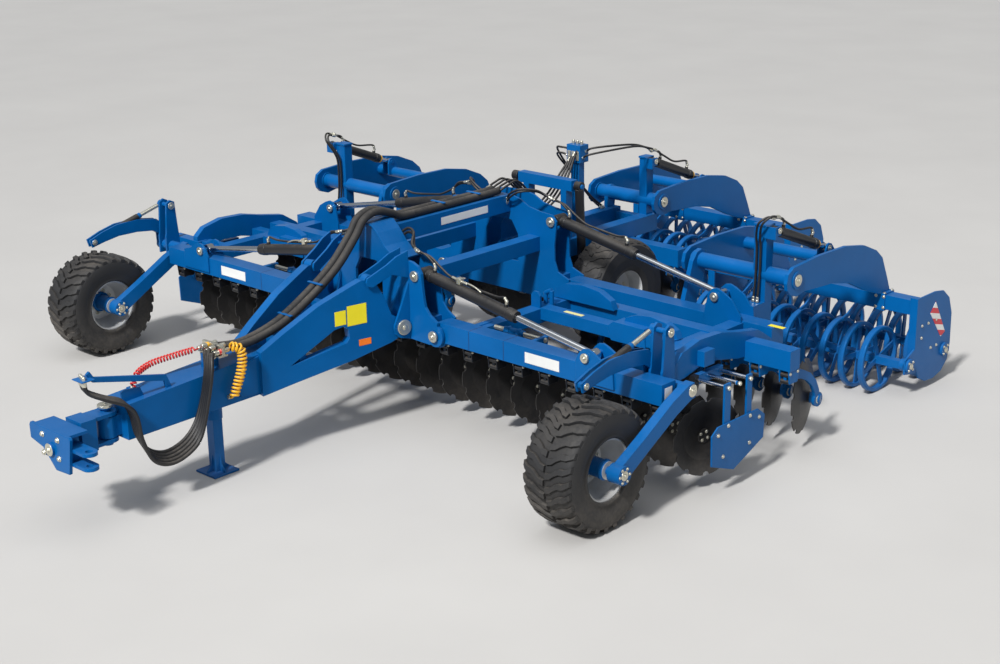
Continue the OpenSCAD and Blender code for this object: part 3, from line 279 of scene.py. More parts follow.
def road_wheel_paint():
    """Tyre rubber outside, silver rim inside and a blue hub, told apart by the distance from the axle."""
    mat = surface("road wheel tyre and rim", RUBBER, WORN_RUBBER, 0.6, wear=0.3, bump=0.4,
                  top=0.2, low=0.3)
    tree, place, base, rubber = open_base(mat)
    dy = math_node(tree, "SUBTRACT", place["Y"], ROAD_HUB[0])
    dz = math_node(tree, "SUBTRACT", place["Z"], ROAD_HUB[1])
    dy2, dz2 = math_node(tree, "MULTIPLY", dy, dy), math_node(tree, "MULTIPLY", dz, dz)
    squares = math_node(tree, "ADD", dy2, dz2)
    away = math_node(tree, "SQRT", squares)
    on_rim = math_node(tree, "LESS_THAN", away, ROAD_RIM_R)
    on_hub = math_node(tree, "LESS_THAN", away, ROAD_HUB_R)
    tone = mix_colour(tree, on_rim, rubber, SILVER)
    tree.links.new(mix_colour(tree, on_hub, tone, BLUE), base)
    return mat


# Stripes for each metre along and up the marker board
STRIPES_ALONG, STRIPES_UP = 3.0, 11.0
SIGN_RED = (0.62, 0.015, 0.03, 1)


def striped_board():
    """Red and white slanted stripes across the marker board."""
    mat = surface("red and white board", (0.78, 0.78, 0.76, 1), WORN_WHITE, 0.3, wear=0.0, top=0.1, low=0.1,
                  bump=0.02)
    tree, place, base, old = open_base(mat)
    along = math_node(tree, "MULTIPLY", place["Y"], STRIPES_ALONG)
    slant = math_node(tree, "ADD", along, math_node(tree, "MULTIPLY", place["Z"], STRIPES_UP))
    band = math_node(tree, "GREATER_THAN", math_node(tree, "FRACT", slant), 0.5)
    tree.links.new(mix_colour(tree, band, old, SIGN_RED), base)
    return mat


FINISH = {"blue": PAINT_BLUE, "black": PAINT_BLACK, "disc": DISC_STEEL, "chrome": CHROME, "zinc": ZINC,
          "hose": HOSE, "yellow": YELLOW, "red": RED, "tyre": TYRE, "rim": RIM, "sleeve": SLEEVE,
          "white": WHITE, "bright_yellow": BRIGHT_YELLOW, "pale_yellow": PALE_YELLOW, "orange": ORANGE,
          "seam": SEAM_SHADOW, "board": striped_board(), "arms": arm_paint_with_painted_shade(), "road_wheel": road_wheel_paint()}


def finish_of(node):
    if node.endswith("_discs"):
        return "disc"
    # Disc arms: blue paint with black painted shade on the front rows
    if node.endswith("_disc_arms"):
        return "arms"
    if node.endswith("road_wheel"):
        return "road_wheel"
    if node.endswith("tyre"):
        return "tyre"
    if node.endswith("rim"):
        return "rim"
    if "barrel" in node:
        return "black"
    if node.endswith("_rod") or node == "lift_rods":
        return "chrome"
    return {"black_hoses": "hose", "coupler_rack": "zinc", "yellow_coil_hose": "yellow",
            "red_coil_hose": "red"}.get(node, "blue")


for name, obj in NODES.items():
    obj.data.materials.clear()
    obj.data.materials.append(FINISH[finish_of(name)])


# Mesh pieces gathered by the body they ride on, by finish and by kind

PARTS = {}
# Turn of a hexagon head on its bolt, in radians, and the height of half a thread's pitch
HEAD_TURN, THREAD_STEP = 0.3, 0.006


def add(body, finish, verts, faces, smooth=False, kind="fittings"):
    store = PARTS.setdefault((body, finish, kind), {"verts": [], "faces": [], "smooth": []})
    base = len(store["verts"])
    store["verts"].extend(tuple(v) for v in verts)
    for face in faces:
        store["faces"].append(tuple(base + i for i in face))
        store["smooth"].append(smooth)


# Geometry node trees for what repeats or follows a path, each built once

def new_tree(name, inputs):
    """Tree with a geometry input, named inputs and a material, and the identifiers of its inputs."""
    tree = bpy.data.node_groups.new(name, "GeometryNodeTree")
    tree.interface.new_socket(name="Geometry", in_out="INPUT", socket_type="NodeSocketGeometry")
    tree.interface.new_socket(name="Geometry", in_out="OUTPUT", socket_type="NodeSocketGeometry")
    keys = {}
    for label, kind in inputs + [("Material", "NodeSocketMaterial")]:
        keys[label] = tree.interface.new_socket(name=label, in_out="INPUT", socket_type=kind).identifier
    return tree, tree.nodes.new("NodeGroupInput").outputs, keys


def end_tree(tree, geometry, material):
    """Realize Instances and Set Material end every tree."""
    real = tree_node(tree, "GeometryNodeRealizeInstances", {"Geometry": geometry})
    painted = tree_node(tree, "GeometryNodeSetMaterial", {"Geometry": real[0], "Material": material})
    out = tree.nodes.new("NodeGroupOutput")
    tree.links.new(painted[0], out.inputs[0])


def tube_tree():
    """Round tube along every path of edges."""
    tree, given, keys = new_tree("round tube", [("Radius", "NodeSocketFloat"), ("Sides", "NodeSocketInt")])
    path = tree_node(tree, "GeometryNodeMeshToCurve", {"Mesh": given["Geometry"]})
    circle = {"Resolution": given["Sides"], "Radius": given["Radius"]}
    ring = tree_node(tree, "GeometryNodeCurvePrimitiveCircle", circle)
    skin = {"Curve": path[0], "Profile Curve": ring[0], "Fill Caps": True}
    tube_skin = tree_node(tree, "GeometryNodeCurveToMesh", skin)
    smooth = tree_node(tree, "GeometryNodeSetShadeSmooth", {"Geometry": tube_skin[0]})
    end_tree(tree, smooth[0], given["Material"])
    return tree, keys


def copies_tree():
    """A piece on every point, turned by the point's own turn."""
    tree, given, keys = new_tree("copies", [("Piece", "NodeSocketObject"), ("Size", "NodeSocketFloat")])
    piece_info = tree_node(tree, "GeometryNodeObjectInfo", {"Object": given["Piece"]})
    turn = tree.nodes.new("GeometryNodeInputNamedAttribute")
    turn.data_type = "FLOAT_VECTOR"
    own = feed(tree, turn, {"Name": "turn"})["Attribute"]
    stand = {"Points": given["Geometry"], "Instance": piece_info["Geometry"], "Rotation": own,
             "Scale": given["Size"]}
    copies = tree_node(tree, "GeometryNodeInstanceOnPoints", stand)
    end_tree(tree, copies[0], given["Material"])
    return tree, keys


def ring_tree():
    """Count copies of a piece in a ring round the X axis of every point."""
    inputs = [("Piece", "NodeSocketObject"), ("Count", "NodeSocketInt")]
    tree, given, keys = new_tree("ring of copies", inputs)
    piece_info = tree_node(tree, "GeometryNodeObjectInfo", {"Object": given["Piece"]})
    many = tree.nodes.new("GeometryNodeDuplicateElements")
    many.domain = "POINT"
    points = feed(tree, many, {"Geometry": given["Geometry"], "Amount": given["Count"]})
    pitch = math_node(tree, "DIVIDE", 2 * math.pi, given["Count"])
    angle = math_node(tree, "MULTIPLY", points["Duplicate Index"], pitch)
    turn = tree_node(tree, "ShaderNodeCombineXYZ", {"X": angle})
    stand = {"Points": points["Geometry"], "Instance": piece_info["Geometry"], "Rotation": turn[0]}
    copies = tree_node(tree, "GeometryNodeInstanceOnPoints", stand)
    end_tree(tree, copies[0], given["Material"])
    return tree, keys


TREES = {"tube": tube_tree(), "copies": copies_tree(), "ring": ring_tree()}
# Points for the trees, by part, tree and settings, and the objects that the trees copy
GROWTH = {}
PIECES = []


def grow(part, tree_name, settings, points, edges=(), turns=()):
    """Keeps points for a tree: edges join them into a path, turns say how copies stand."""
    PARTS.setdefault(part, {"verts": [], "faces": [], "smooth": []})
    store = GROWTH.setdefault((part, tree_name, settings), {"points": [], "edges": [], "turns": []})
    base = len(store["points"])
    store["points"].extend(tuple(p) for p in points)
    store["edges"].extend((base + a, base + b) for a, b in edges)
    store["turns"].extend(turns)


def link_mesh(name, verts, edges, faces):
    mesh = bpy.data.meshes.new(name)
    mesh.from_pydata(verts, edges, faces)
    obj = bpy.data.objects.new(name, mesh)
    bpy.context.scene.collection.objects.link(obj)
    return obj


def piece(name, *forms):
    """Object for a tree to copy, made of closed forms round the origin."""
    verts, faces = [], []
    for form_verts, form_faces in forms:
        base = len(verts)
        verts.extend(form_verts)
        faces.extend(tuple(base + i for i in face) for face in form_faces)
    obj = link_mesh(name, verts, [], faces)
    PIECES.append(obj)
    return obj


def run_trees():
    """Each tree's result becomes a plain mesh and joins the part it belongs to."""
    grown = []
    for (part, tree_name, settings), store in GROWTH.items():
        obj = link_mesh(tree_name, store["points"], store["edges"], [])
        if store["turns"]:
            turns = obj.data.attributes.new("turn", "FLOAT_VECTOR", "POINT")
            turns.data.foreach_set("vector", [angle for turn in store["turns"] for angle in turn])
        tree, keys = TREES[tree_name]
        modifier = obj.modifiers.new(tree_name, "NODES")
        modifier.node_group = tree
        for label, value in settings + (("Material", FINISH[part[1]]),):
            modifier[keys[label]] = value
        grown.append((part, obj))
    graph = bpy.context.evaluated_depsgraph_get()
    for part, obj in grown:
        mesh = bpy.data.meshes.new_from_object(obj.evaluated_get(graph))
        store = PARTS[part]
        base = len(store["verts"])
        store["verts"].extend(tuple(v.co) for v in mesh.vertices)
        for face in mesh.polygons:
            store["faces"].append(tuple(base + i for i in face.vertices))
            store["smooth"].append(face.use_smooth)
        bpy.data.meshes.remove(mesh)
    for obj in [obj for part, obj in grown] + PIECES:
        bpy.data.objects.remove(obj)


def axes_of(direction):
    w = Vector(direction).normalized()
    side = Vector((0, 0, 1)) if abs(w.z) < 0.9 else Vector((1, 0, 0))
    u = side.cross(w).normalized()
    return u, w.cross(u), w


def turned(place, direction, profile, sides, turn=0.0):
    """Closed turned form: profile is a list of radius and height along the direction."""
    u, v, w = axes_of(direction)
    place = Vector(place)
    verts = []
    for radius, height in profile:
        for k in range(sides):
            a = turn + 2 * math.pi * k / sides
            verts.append(place + w * height + (u * math.cos(a) + v * math.sin(a)) * radius)
    faces = [tuple(range(sides - 1, -1, -1))]
    for i in range(len(profile) - 1):
        for k in range(sides):
            n = (k + 1) % sides
            faces.append((i * sides + k, i * sides + n, (i + 1) * sides + n, (i + 1) * sides + k))
    faces.append(tuple((len(profile) - 1) * sides + k for k in range(sides)))
    return verts, faces


def lathe(body, finish, place, direction, profile, sides, turn=0.0, kind="fittings"):
    """Turned form added to its part."""
    add(body, finish, *turned(place, direction, profile, sides, turn), kind=kind)


def copy(body, finish, copied, place, direction, size=1.0, kind="fittings"):
    """One more copy of a piece, stood on its place along a direction."""
    u, v, w = axes_of(direction)
    turn = Matrix((v, -u, w)).transposed().to_euler()
    grow((body, finish, kind), "copies", (("Piece", copied), ("Size", size)), [place], turns=[turn])


def upright(profile, sides, turn=0.0):
    """Turned form on the origin along Z."""
    return turned((0, 0, 0), (0, 0, 1), profile, sides, turn)


# Pieces that the trees copy; the bolt's radius is 1, the others are full size
BOLT = piece("bolt", upright([(1.5, -0.11), (1.5, 0.18), (1.42, 0.26)], 14),
             upright([(1.12, 0.2), (1.12, 0.82), (0.95, 0.98)], 6, HEAD_TURN))
HUB_PLATE = piece("hub plate", upright([(0.052, 0), (0.052, 0.007), (0.046, 0.010)], 24))
HUB_CAP = piece("hub cap", upright([(0.040, 0), (0.040, 0.012), (0.030, 0.02)], 24))
CUSHION = piece("cushion", upright([(0.0135, 0), (0.0165, 0.004), (0.0165, 0.074), (0.0135, 0.078)], 14))
WHEEL_NUT = piece("wheel nut", upright([(0.020, -0.001), (0.019, 0.006)], 16),
                  upright([(0.014, 0.004), (0.014, 0.020), (0.012, 0.023)], 6),
                  upright([(0.007, 0.02), (0.007, 0.034), (0.005, 0.036)], 10))


def bolt(body, place, direction, r=0.009):
    """Washer and hexagon head."""
    copy(body, "zinc", BOLT, place, direction, r)


def pin_head(body, place, direction, r, sleeve=0.013):
    """Plated cap over a pin's end with a lock bolt in its middle."""
    cap = [(r + 0.0008, -sleeve), (r + 0.0008, 0.001), (r - 0.003, 0.004), (r * 0.55, 0.004),
           (r * 0.5, 0.003)]
    lathe(body, "zinc", place, direction, cap, 28)
    bolt(body, Vector(place) + Vector(direction).normalized() * 0.003, direction, min(0.012, r * 0.3))


def smooth_path(points, steps=6):
    pts = [Vector(p) for p in points]
    ext = [pts[0] * 2 - pts[1]] + pts + [pts[-1] * 2 - pts[-2]]
    out = []
    for i in range(1, len(ext) - 2):
        a, b, c, d = ext[i - 1:i + 3]
        for k in range(steps):
            t = k / steps
            out.append(0.5 * (2 * b + (c - a) * t + (2 * a - 5 * b + 4 * c - d) * t * t
                              + (3 * b - a - 3 * c + d) * t ** 3))
    out.append(pts[-1])
    return out


def tube(body, finish, path, r, sides=10, kind="hoses"):
    """Round tube along a path."""
    edges = [(i, i + 1) for i in range(len(path) - 1)]
    grow((body, finish, kind), "tube", (("Radius", r), ("Sides", sides)), path, edges)


def hose(body, points, r, ends=True):
    """Hose through its given points, with crimped plated ends."""
    path = smooth_path(points)
    tube(body, "hose", path, r)
    if ends:
        for a, b in ((path[0], path[1]), (path[-1], path[-2])):
            d = (b - a).normalized()
            crimp = [(r * 0.9, -0.012), (r * 1.3, -0.010), (r * 1.3, 0.03), (r * 1.1, 0.034)]
            lathe(body, "zinc", a, d, crimp, 12)
            lathe(body, "zinc", a, d, [(r * 1.55, -0.006), (r * 1.55, 0.008)], 6)


COIL_STEPS = 14


def helix(body, finish, points, coil_r, wire_r, turns, kind):
    """Coiled hose round a bent centre line; its first and last point come back."""
    spine = smooth_path(points, 8)
    lengths = [0.0]
    for a, b in zip(spine, spine[1:]):
        lengths.append(lengths[-1] + (b - a).length)
    total = lengths[-1]
    path = []
    last = None
    count = turns * COIL_STEPS
    j = 0
    for i in range(count + 1):
        s = total * i / count
        while j < len(lengths) - 2 and lengths[j + 1] < s:
            j += 1
        f = (s - lengths[j]) / (lengths[j + 1] - lengths[j])
        p = spine[j].lerp(spine[j + 1], f)
        t = (spine[j + 1] - spine[j]).normalized()
        u = axes_of(t)[0] if last is None else (last - t * last.dot(t)).normalized()
        last = u
        v = t.cross(u)
        a = 2 * math.pi * turns * i / count
        path.append(p + (u * math.cos(a) + v * math.sin(a)) * coil_r)
    tube(body, finish, path, wire_r, 8, kind)
    return path[0], path[-1]


def slab(body, finish, corners, out, thick=0.0012, kind="signs"):
    """Thin blank plate or sticker laid on a face, corners in order round it."""
    n = Vector(out).normalized()
    low = [Vector(c) for c in corners]
    if (low[1] - low[0]).cross(low[2] - low[1]).dot(n) < 0:
        low.reverse()
    high = [c + n * thick for c in low]
    k = len(low)
    faces = [tuple(range(k - 1, -1, -1)), tuple(range(k, 2 * k))]
    faces += [(i, (i + 1) % k, k + (i + 1) % k, k + i) for i in range(k)]
    add(body, finish, low + high, faces, kind=kind)


def block(body, finish, low, high, cut=0.003, kind="fittings"):
    """Box with its long edges cut off."""
    (x0, y0, z0), (x1, y1, z1) = low, high
    ring = [(x0 + cut, y0), (x1 - cut, y0), (x1, y0 + cut), (x1, y1 - cut), (x1 - cut, y1), (x0 + cut, y1),
            (x0, y1 - cut), (x0, y0 + cut)]
    inner = [(x0 + 2 * cut, y0 + cut), (x1 - 2 * cut, y0 + cut), (x1 - cut, y0 + 2 * cut),
             (x1 - cut, y1 - 2 * cut), (x1 - 2 * cut, y1 - cut), (x0 + 2 * cut, y1 - cut),
             (x0 + cut, y1 - 2 * cut), (x0 + cut, y0 + 2 * cut)]
    rows = [(inner, z0), (ring, z0 + cut), (ring, z1 - cut), (inner, z1)]
    verts = [(x, y, z) for pts, z in rows for x, y in pts]
    faces = [tuple(range(7, -1, -1)), tuple(range(24, 32))]
    for i in range(3):
        for k in range(8):
            n = (k + 1) % 8
            faces.append((i * 8 + k, i * 8 + n, (i + 1) * 8 + n, (i + 1) * 8 + k))
    add(body, finish, verts, faces, kind=kind)


# Places shared with the CAD source, in metres

FRONT_Y, REAR_Y, GANG_Y, MID_GANG_Y = 1.645, 3.126, 2.750, 4.370
BEAM_HALF, GAP, FRONT_T, REAR_T = 0.075, 0.007, 0.025, 0.015
HINGE = (0.698, 0.784)
FRONT_BASE, FRONT_ROD = (0.507, 1.214), (2.153, 0.937)
REAR_BASE, REAR_ROD = (0.542, 1.340), (2.157, 1.030)
HUB_Z, TRAIL, ARM_SIDE, DISC_ANGLE = 0.400, 0.385, 0.062, math.radians(17)
ROLL_PIVOT, MID_SHIFT = (3.400, 1.165), 1.310
WHEEL_X = {"left": 2.630, "right": -2.939}
WHEEL_HUB = (1.053, 0.437)
LEG_A, LEG_B = Vector((0.370, 1.490, 0)), Vector((0.120, 0.250, 0))
HANDS = (("left", 1), ("right", -1))
# Body, first x, step, count, beam y and side of the arm of each disc row
DISC_ROWS = [
    ("left_wing", 0.800, 0.25, 9, FRONT_Y, -1), ("left_wing", 0.950, 0.25, 9, GANG_Y, 1),
    ("right_wing", -0.700, -0.25, 8, FRONT_Y, -1), ("right_wing", -0.800, -0.25, 9, GANG_Y, 1),
    ("chassis", -0.450, 0.25, 5, FRONT_Y, -1), ("chassis", -0.550, 0.25, 6, MID_GANG_Y, 1),
]


def on_leg(side, along, out, z):
    """Point beside a drawbar leg's own line, and the direction in which it lies beside it."""
    d = (LEG_B - LEG_A).normalized()
    n = Vector((-d.y, d.x, 0))
    p = LEG_A + d * along + n * out
    return Vector((side * p.x, p.y, z)), Vector((side * n.x, n.y, 0))


# Disc gangs: hub bolts, rubber cushions in the clamps, clamp bolts

def dress_discs():
    for body, x0, step, count, beam_y, side in DISC_ROWS:
        for i in range(count):
            x = x0 + step * i
            turn = -DISC_ANGLE if side < 0 else math.pi + DISC_ANGLE
            face = Vector((math.cos(turn), math.sin(turn), 0))
            across = Vector((-math.sin(turn), math.cos(turn), 0))
            hub = Vector((x, beam_y + TRAIL, HUB_Z))
            copy(body, "disc", HUB_PLATE, hub + face * 0.018, face, kind="disc_hubs")
            for k in range(4):
                a = math.radians(45 + 90 * k + 13 * i)
                spot = hub + face * 0.027 + across * 0.034 * math.cos(a)
                spot.z += 0.034 * math.sin(a)
                bolt(body, spot, face, 0.0085)
            cap = hub - face * (ARM_SIDE + 0.002)
            # Hub caps on the front rows are black as painted shade under the front beams; those on the rear
            # rows are blue
            copy(body, "black" if beam_y == FRONT_Y else "blue", HUB_CAP, cap, -face, kind="disc_hubs")
            outer = hub + Vector((side * (ARM_SIDE + 0.0125), 0, 0))
            pin_head(body, outer, (side, 0, 0), 0.030, sleeve=0.001)
            centre = x + side * ARM_SIDE
            for dy in (-0.036, 0.036):
                for z in (0.648, 0.696):
                    place = (centre - 0.039, beam_y + dy, z)
                    copy(body, "hose", CUSHION, place, (1, 0, 0), kind="rubber_cushions")
            for dy in (-0.046, 0.046):
                bolt(body, (centre + 0.045, beam_y + dy, 0.716), (1, 0, 0), 0.008)
                bolt(body, (centre - 0.045, beam_y + dy, 0.716), (-1, 0, 0), 0.008)


# Pin heads of the wing hinges, fold cylinders, roller pivots and drawbar

def dress_pins():
    span = BEAM_HALF + GAP
    for hand, s in HANDS:
        wing = hand + "_wing"
        for y, out in ((FRONT_Y - span - FRONT_T - 0.024, -1), (FRONT_Y + span + REAR_T + 0.013, 1),
                       (REAR_Y - span - REAR_T - 0.020, -1), (REAR_Y + span + REAR_T + 0.013, 1)):
            pin_head(wing, (s * HINGE[0], y, HINGE[1]), (0, out, 0), 0.042)
        for base, y, front_t in ((FRONT_BASE, FRONT_Y, FRONT_T), (REAR_BASE, REAR_Y, REAR_T)):
            pin_head("chassis", (s * base[0], y - span - front_t - 0.014, base[1]), (0, -1, 0), 0.040)
            pin_head("chassis", (s * base[0], y + span + REAR_T + 0.014, base[1]), (0, 1, 0), 0.040)
        for rod, y in ((FRONT_ROD, FRONT_Y), (REAR_ROD, REAR_Y)):
            for k in (-1, 1):
                pin_head(wing, (s * rod[0], y + k * (BEAM_HALF + 0.032), rod[1]), (0, k, 0), 0.034)
        for x, out in ((2.645, 1), (1.665, -1)):
            pin_head(wing, (s * x, ROLL_PIVOT[0], ROLL_PIVOT[1]), (s * out, 0, 0), 0.046, sleeve=0.0)
        pin_head(wing, (s * 2.496, 3.360, 1.526), (s, 0, 0), 0.024, sleeve=0.001)
        pin_head(hand + "_roller_frame", (s * 2.494, 4.057, 1.250), (s, 0, 0), 0.024, sleeve=0.001)
        pin_head("chassis", (s * 0.392, ROLL_PIVOT[0] + MID_SHIFT, ROLL_PIVOT[1]), (s, 0, 0), 0.046,
                 sleeve=0.0)
        for out in (-0.079, 0.079):
            place, n = on_leg(s, 0, out, 0.816)
            pin_head("chassis", place, n * (1 if out > 0 else -1), 0.058, sleeve=0.012)
        for out in (-0.045, 0.045):
            place, n = on_leg(s, 0.262, out, 1.214)
            pin_head("chassis", place, n * (1 if out > 0 else -1), 0.026, sleeve=0.008)
    pin_head("chassis", (0.326, 3.360 + MID_SHIFT, 1.526), (1, 0, 0), 0.024, sleeve=0.001)
    pin_head("centre_roller_frame", (0.324, 4.057 + MID_SHIFT, 1.250), (1, 0, 0), 0.024, sleeve=0.001)
    pin_head("hitch_swivel", (0, -0.880, 0.765), (0, 0, 1), 0.052, sleeve=0.014)
    for dx in (-0.09, 0.09):
        for z in (0.53, 0.66):
            bolt("hitch_head", (dx, -1.312, z), (0, -1, 0), 0.014)
    pin_head("hitch_head", (0, -1.330, 0.576), (0, -1, 0), 0.044, sleeve=0.014)


# Support and road wheels: tread, nuts, hubs, turnbuckle

TYRE_R, TYRE_HALF, RIM_R = 0.437, 0.202, 0.215
# Fraction of the half width and radius across the tread side of a tyre
TYRE_PROFILE = [(0.80, RIM_R), (0.93, RIM_R + 0.006), (0.95, RIM_R + 0.022), (0.90, RIM_R + 0.030),
                (0.97, RIM_R + 0.070), (1.00, RIM_R + 0.115), (0.975, 0.380), (0.92, 0.400), (0.78, 0.411),
                (0.55, 0.4155), (0.25, 0.417), (0.0, 0.4175)]


def revolve(body, finish, centre, profile, segments, kind):
    """Turned skin round a wheel's X axis, profile of x and radius."""
    cx, cy, cz = centre
    n = len(profile)
    verts = []
    for k in range(segments):
        a = 2 * math.pi * k / segments
        for x, r in profile:
            verts.append((cx + x, cy + r * math.sin(a), cz + r * math.cos(a)))
    faces = []
    for k in range(segments):
        m = (k + 1) % segments
        for i in range(n):
            j = (i + 1) % n
            faces.append((k * n + i, m * n + i, m * n + j, k * n + j))
    add(body, finish, verts, faces, smooth=True, kind=kind)


# How far a lug leans round the wheel over its length, in parts of the space between two lugs
LUG_LEAN = 0.95


def tread_lugs(body, centre, outer, half, count, depth, kind):
    """Curved bars from the middle of the tread out over the shoulder, in two staggered halves."""
    rows = [(0.03, 0.00, 1.0), (0.22, 0.10, 1.0), (0.40, 0.42, 0.999), (0.56, 0.62, 0.997),
            (0.72, 0.64, 0.992), (0.86, 0.80, 0.975), (0.965, 0.98, 0.945)]
    pitch = 2 * math.pi / count
    for side in (-1, 1):
        start = pitch * 0.5 if side > 0 else 0
        verts, faces = [], []
        for u, lean, grow_out in rows:
            top = outer * grow_out
            for w, r in ((-0.27, top - depth * 1.5), (-0.19, top), (0.19, top), (0.27, top - depth * 1.5)):
                a = start + pitch * (lean * LUG_LEAN + w)
                verts.append((side * half * u, r * math.sin(a), r * math.cos(a)))
        for i in range(len(rows) - 1):
            for j in range(4):
                m = (j + 1) % 4
                quad = (i * 4 + j, i * 4 + m, (i + 1) * 4 + m, (i + 1) * 4 + j)
                faces.append(quad if side > 0 else quad[::-1])
        ends = [tuple(range(4)), tuple(range(len(rows) * 4 - 1, len(rows) * 4 - 5, -1))]
        faces += [e[::-1] for e in ends] if side > 0 else ends
        lug = piece("lug", (verts, faces))
        grow((body, "tyre", kind), "ring", (("Piece", lug), ("Count", count)), [centre])


def round_axle(x, axle, radius, a):
    """Point at an angle round an axle that lies along X."""
    return (x, axle[0] + radius * math.sin(a), axle[1] + radius * math.cos(a))


def thread(start, end, crest, root, plain, first=1):
    """Profile of a threaded length, plain at both ends."""
    steps = int((end - start) / THREAD_STEP)
    rings = [(crest if q % 2 else root, start + (end - start) * q / steps) for q in range(first, steps)]
    return [(plain, start)] + rings + [(plain, end)]


def dress_support_wheel(hand):
    body = hand + "_support_wheel"
    wing = hand + "_wing"
    x0 = WHEEL_X[hand]
    c = x0 - 0.034
    centre = (c, WHEEL_HUB[0], WHEEL_HUB[1])
    half = [(TYRE_HALF * u, r) for u, r in TYRE_PROFILE]
    profile = half + [(-x, r) for x, r in half[-2::-1]]
    revolve(body, "tyre", centre, profile, 96, "tyre")
    tread_lugs(body, centre, TYRE_R, TYRE_HALF, 28, 0.021, "tyre")
    for k in range(8):
        a = 2 * math.pi * (k + 0.5) / 8
        spot = round_axle(c - 0.018, WHEEL_HUB, 0.100, a)
        copy(body, "zinc", WHEEL_NUT, spot, (1, 0, 0))
    hub = [(0.086, 0), (0.086, 0.014), (0.080, 0.018), (0.066, 0.022), (0.064, 0.150), (0.072, 0.154),
           (0.072, 0.172), (0.069, 0.175), (0.063, 0.176), (0.063, 0.19), (0.060, 0.191)]
    lathe(body, "blue", (c - 0.017, *WHEEL_HUB), (1, 0, 0), hub, 36, kind="hub")
    for k in range(6):
        a = 2 * math.pi * (k + 0.5) / 6
        bolt(wing, round_axle(x0 + 0.180, WHEEL_HUB, 0.050, a), (-1, 0, 0), 0.0085)
        bolt(wing, round_axle(x0 + 0.280, WHEEL_HUB, 0.049, a), (1, 0, 0), 0.0075)
    for x in (0.170, -0.170):
        turns = [math.pi * q / 4 for q in range(8)]
        bead = [(x + 0.010 * math.cos(a), RIM_R + 0.010 + 0.008 * math.sin(a)) for a in turns]
        revolve(body, "rim", centre, bead, 64, "rim_edges")
    x = x0 - 0.081
    foot, head = Vector((x, 1.050, 0.972)), Vector((x, 1.790, 1.175))
    d = (head - foot).normalized()
    n = (head - foot).length
    nut = [(0.0175, 0), (0.0275, 0.012), (0.0275, n - 0.46), (0.0175, n - 0.448)]
    lathe(wing, "black", foot + d * 0.19, d, nut, 20, kind="turnbuckle")
    for start, end in ((0.035, 0.185), (n - 0.25, n - 0.04)):
        rings = thread(start, end, 0.0182, 0.0168, 0.0172, 0)
        lathe(wing, "zinc", foot, d, rings, 14, kind="turnbuckle")
    for spot, out, r in (((x0 + 0.264, 1.788, 0.810), 1, 0.044), ((x0 - 0.118, 1.780, 0.810), -1, 0.044),
                         ((x0 + 0.074, 1.790, 1.175), 1, 0.032), ((x0 - 0.092, 1.790, 1.175), -1, 0.032),
                         ((x0 - 0.038, 1.050, 0.972), 1, 0.024), ((x0 - 0.124, 1.050, 0.972), -1, 0.024),
                         ((x0 + 0.280, *WHEEL_HUB), 1, 0.034)):
        pin_head(wing, spot, (out, 0, 0), r, sleeve=0.002)


def dress_road_wheel(hand, s):
    """Tread and nuts of a transport wheel."""
    body = hand + "_road_wheel"
    hub = (s * ROAD_X, *ROAD_HUB)
    tread_lugs(body, hub, ROAD_TYRE_R + 0.007, ROAD_TREAD_HALF, 30, 0.012, "tread")
    for k in range(8):
        a = 2 * math.pi * (k + 0.5) / 8
        bolt(body, round_axle(s * (ROAD_X + 0.010), ROAD_HUB, 0.120, a), (s, 0, 0), 0.013)
    cap = [(0.052, -0.002), (0.052, 0.006), (0.044, 0.016), (0.018, 0.020)]
    lathe(body, "zinc", (s * (ROAD_X + 0.060), *ROAD_HUB), (s, 0, 0), cap, 28, kind="hub_cap")


# Fold and depth cylinders: glands, collars, ports, hoses

CYLINDER_HOSE_R = 0.0085


def cylinder_line(base, rod, s, y):
    """Base pin of a fold cylinder and the direction to its rod's pin."""
    a, b = Vector((s * base[0], y, base[1])), Vector((s * rod[0], y, rod[1]))
    return a, (b - a).normalized()


FOLD_BARREL_R = 0.045


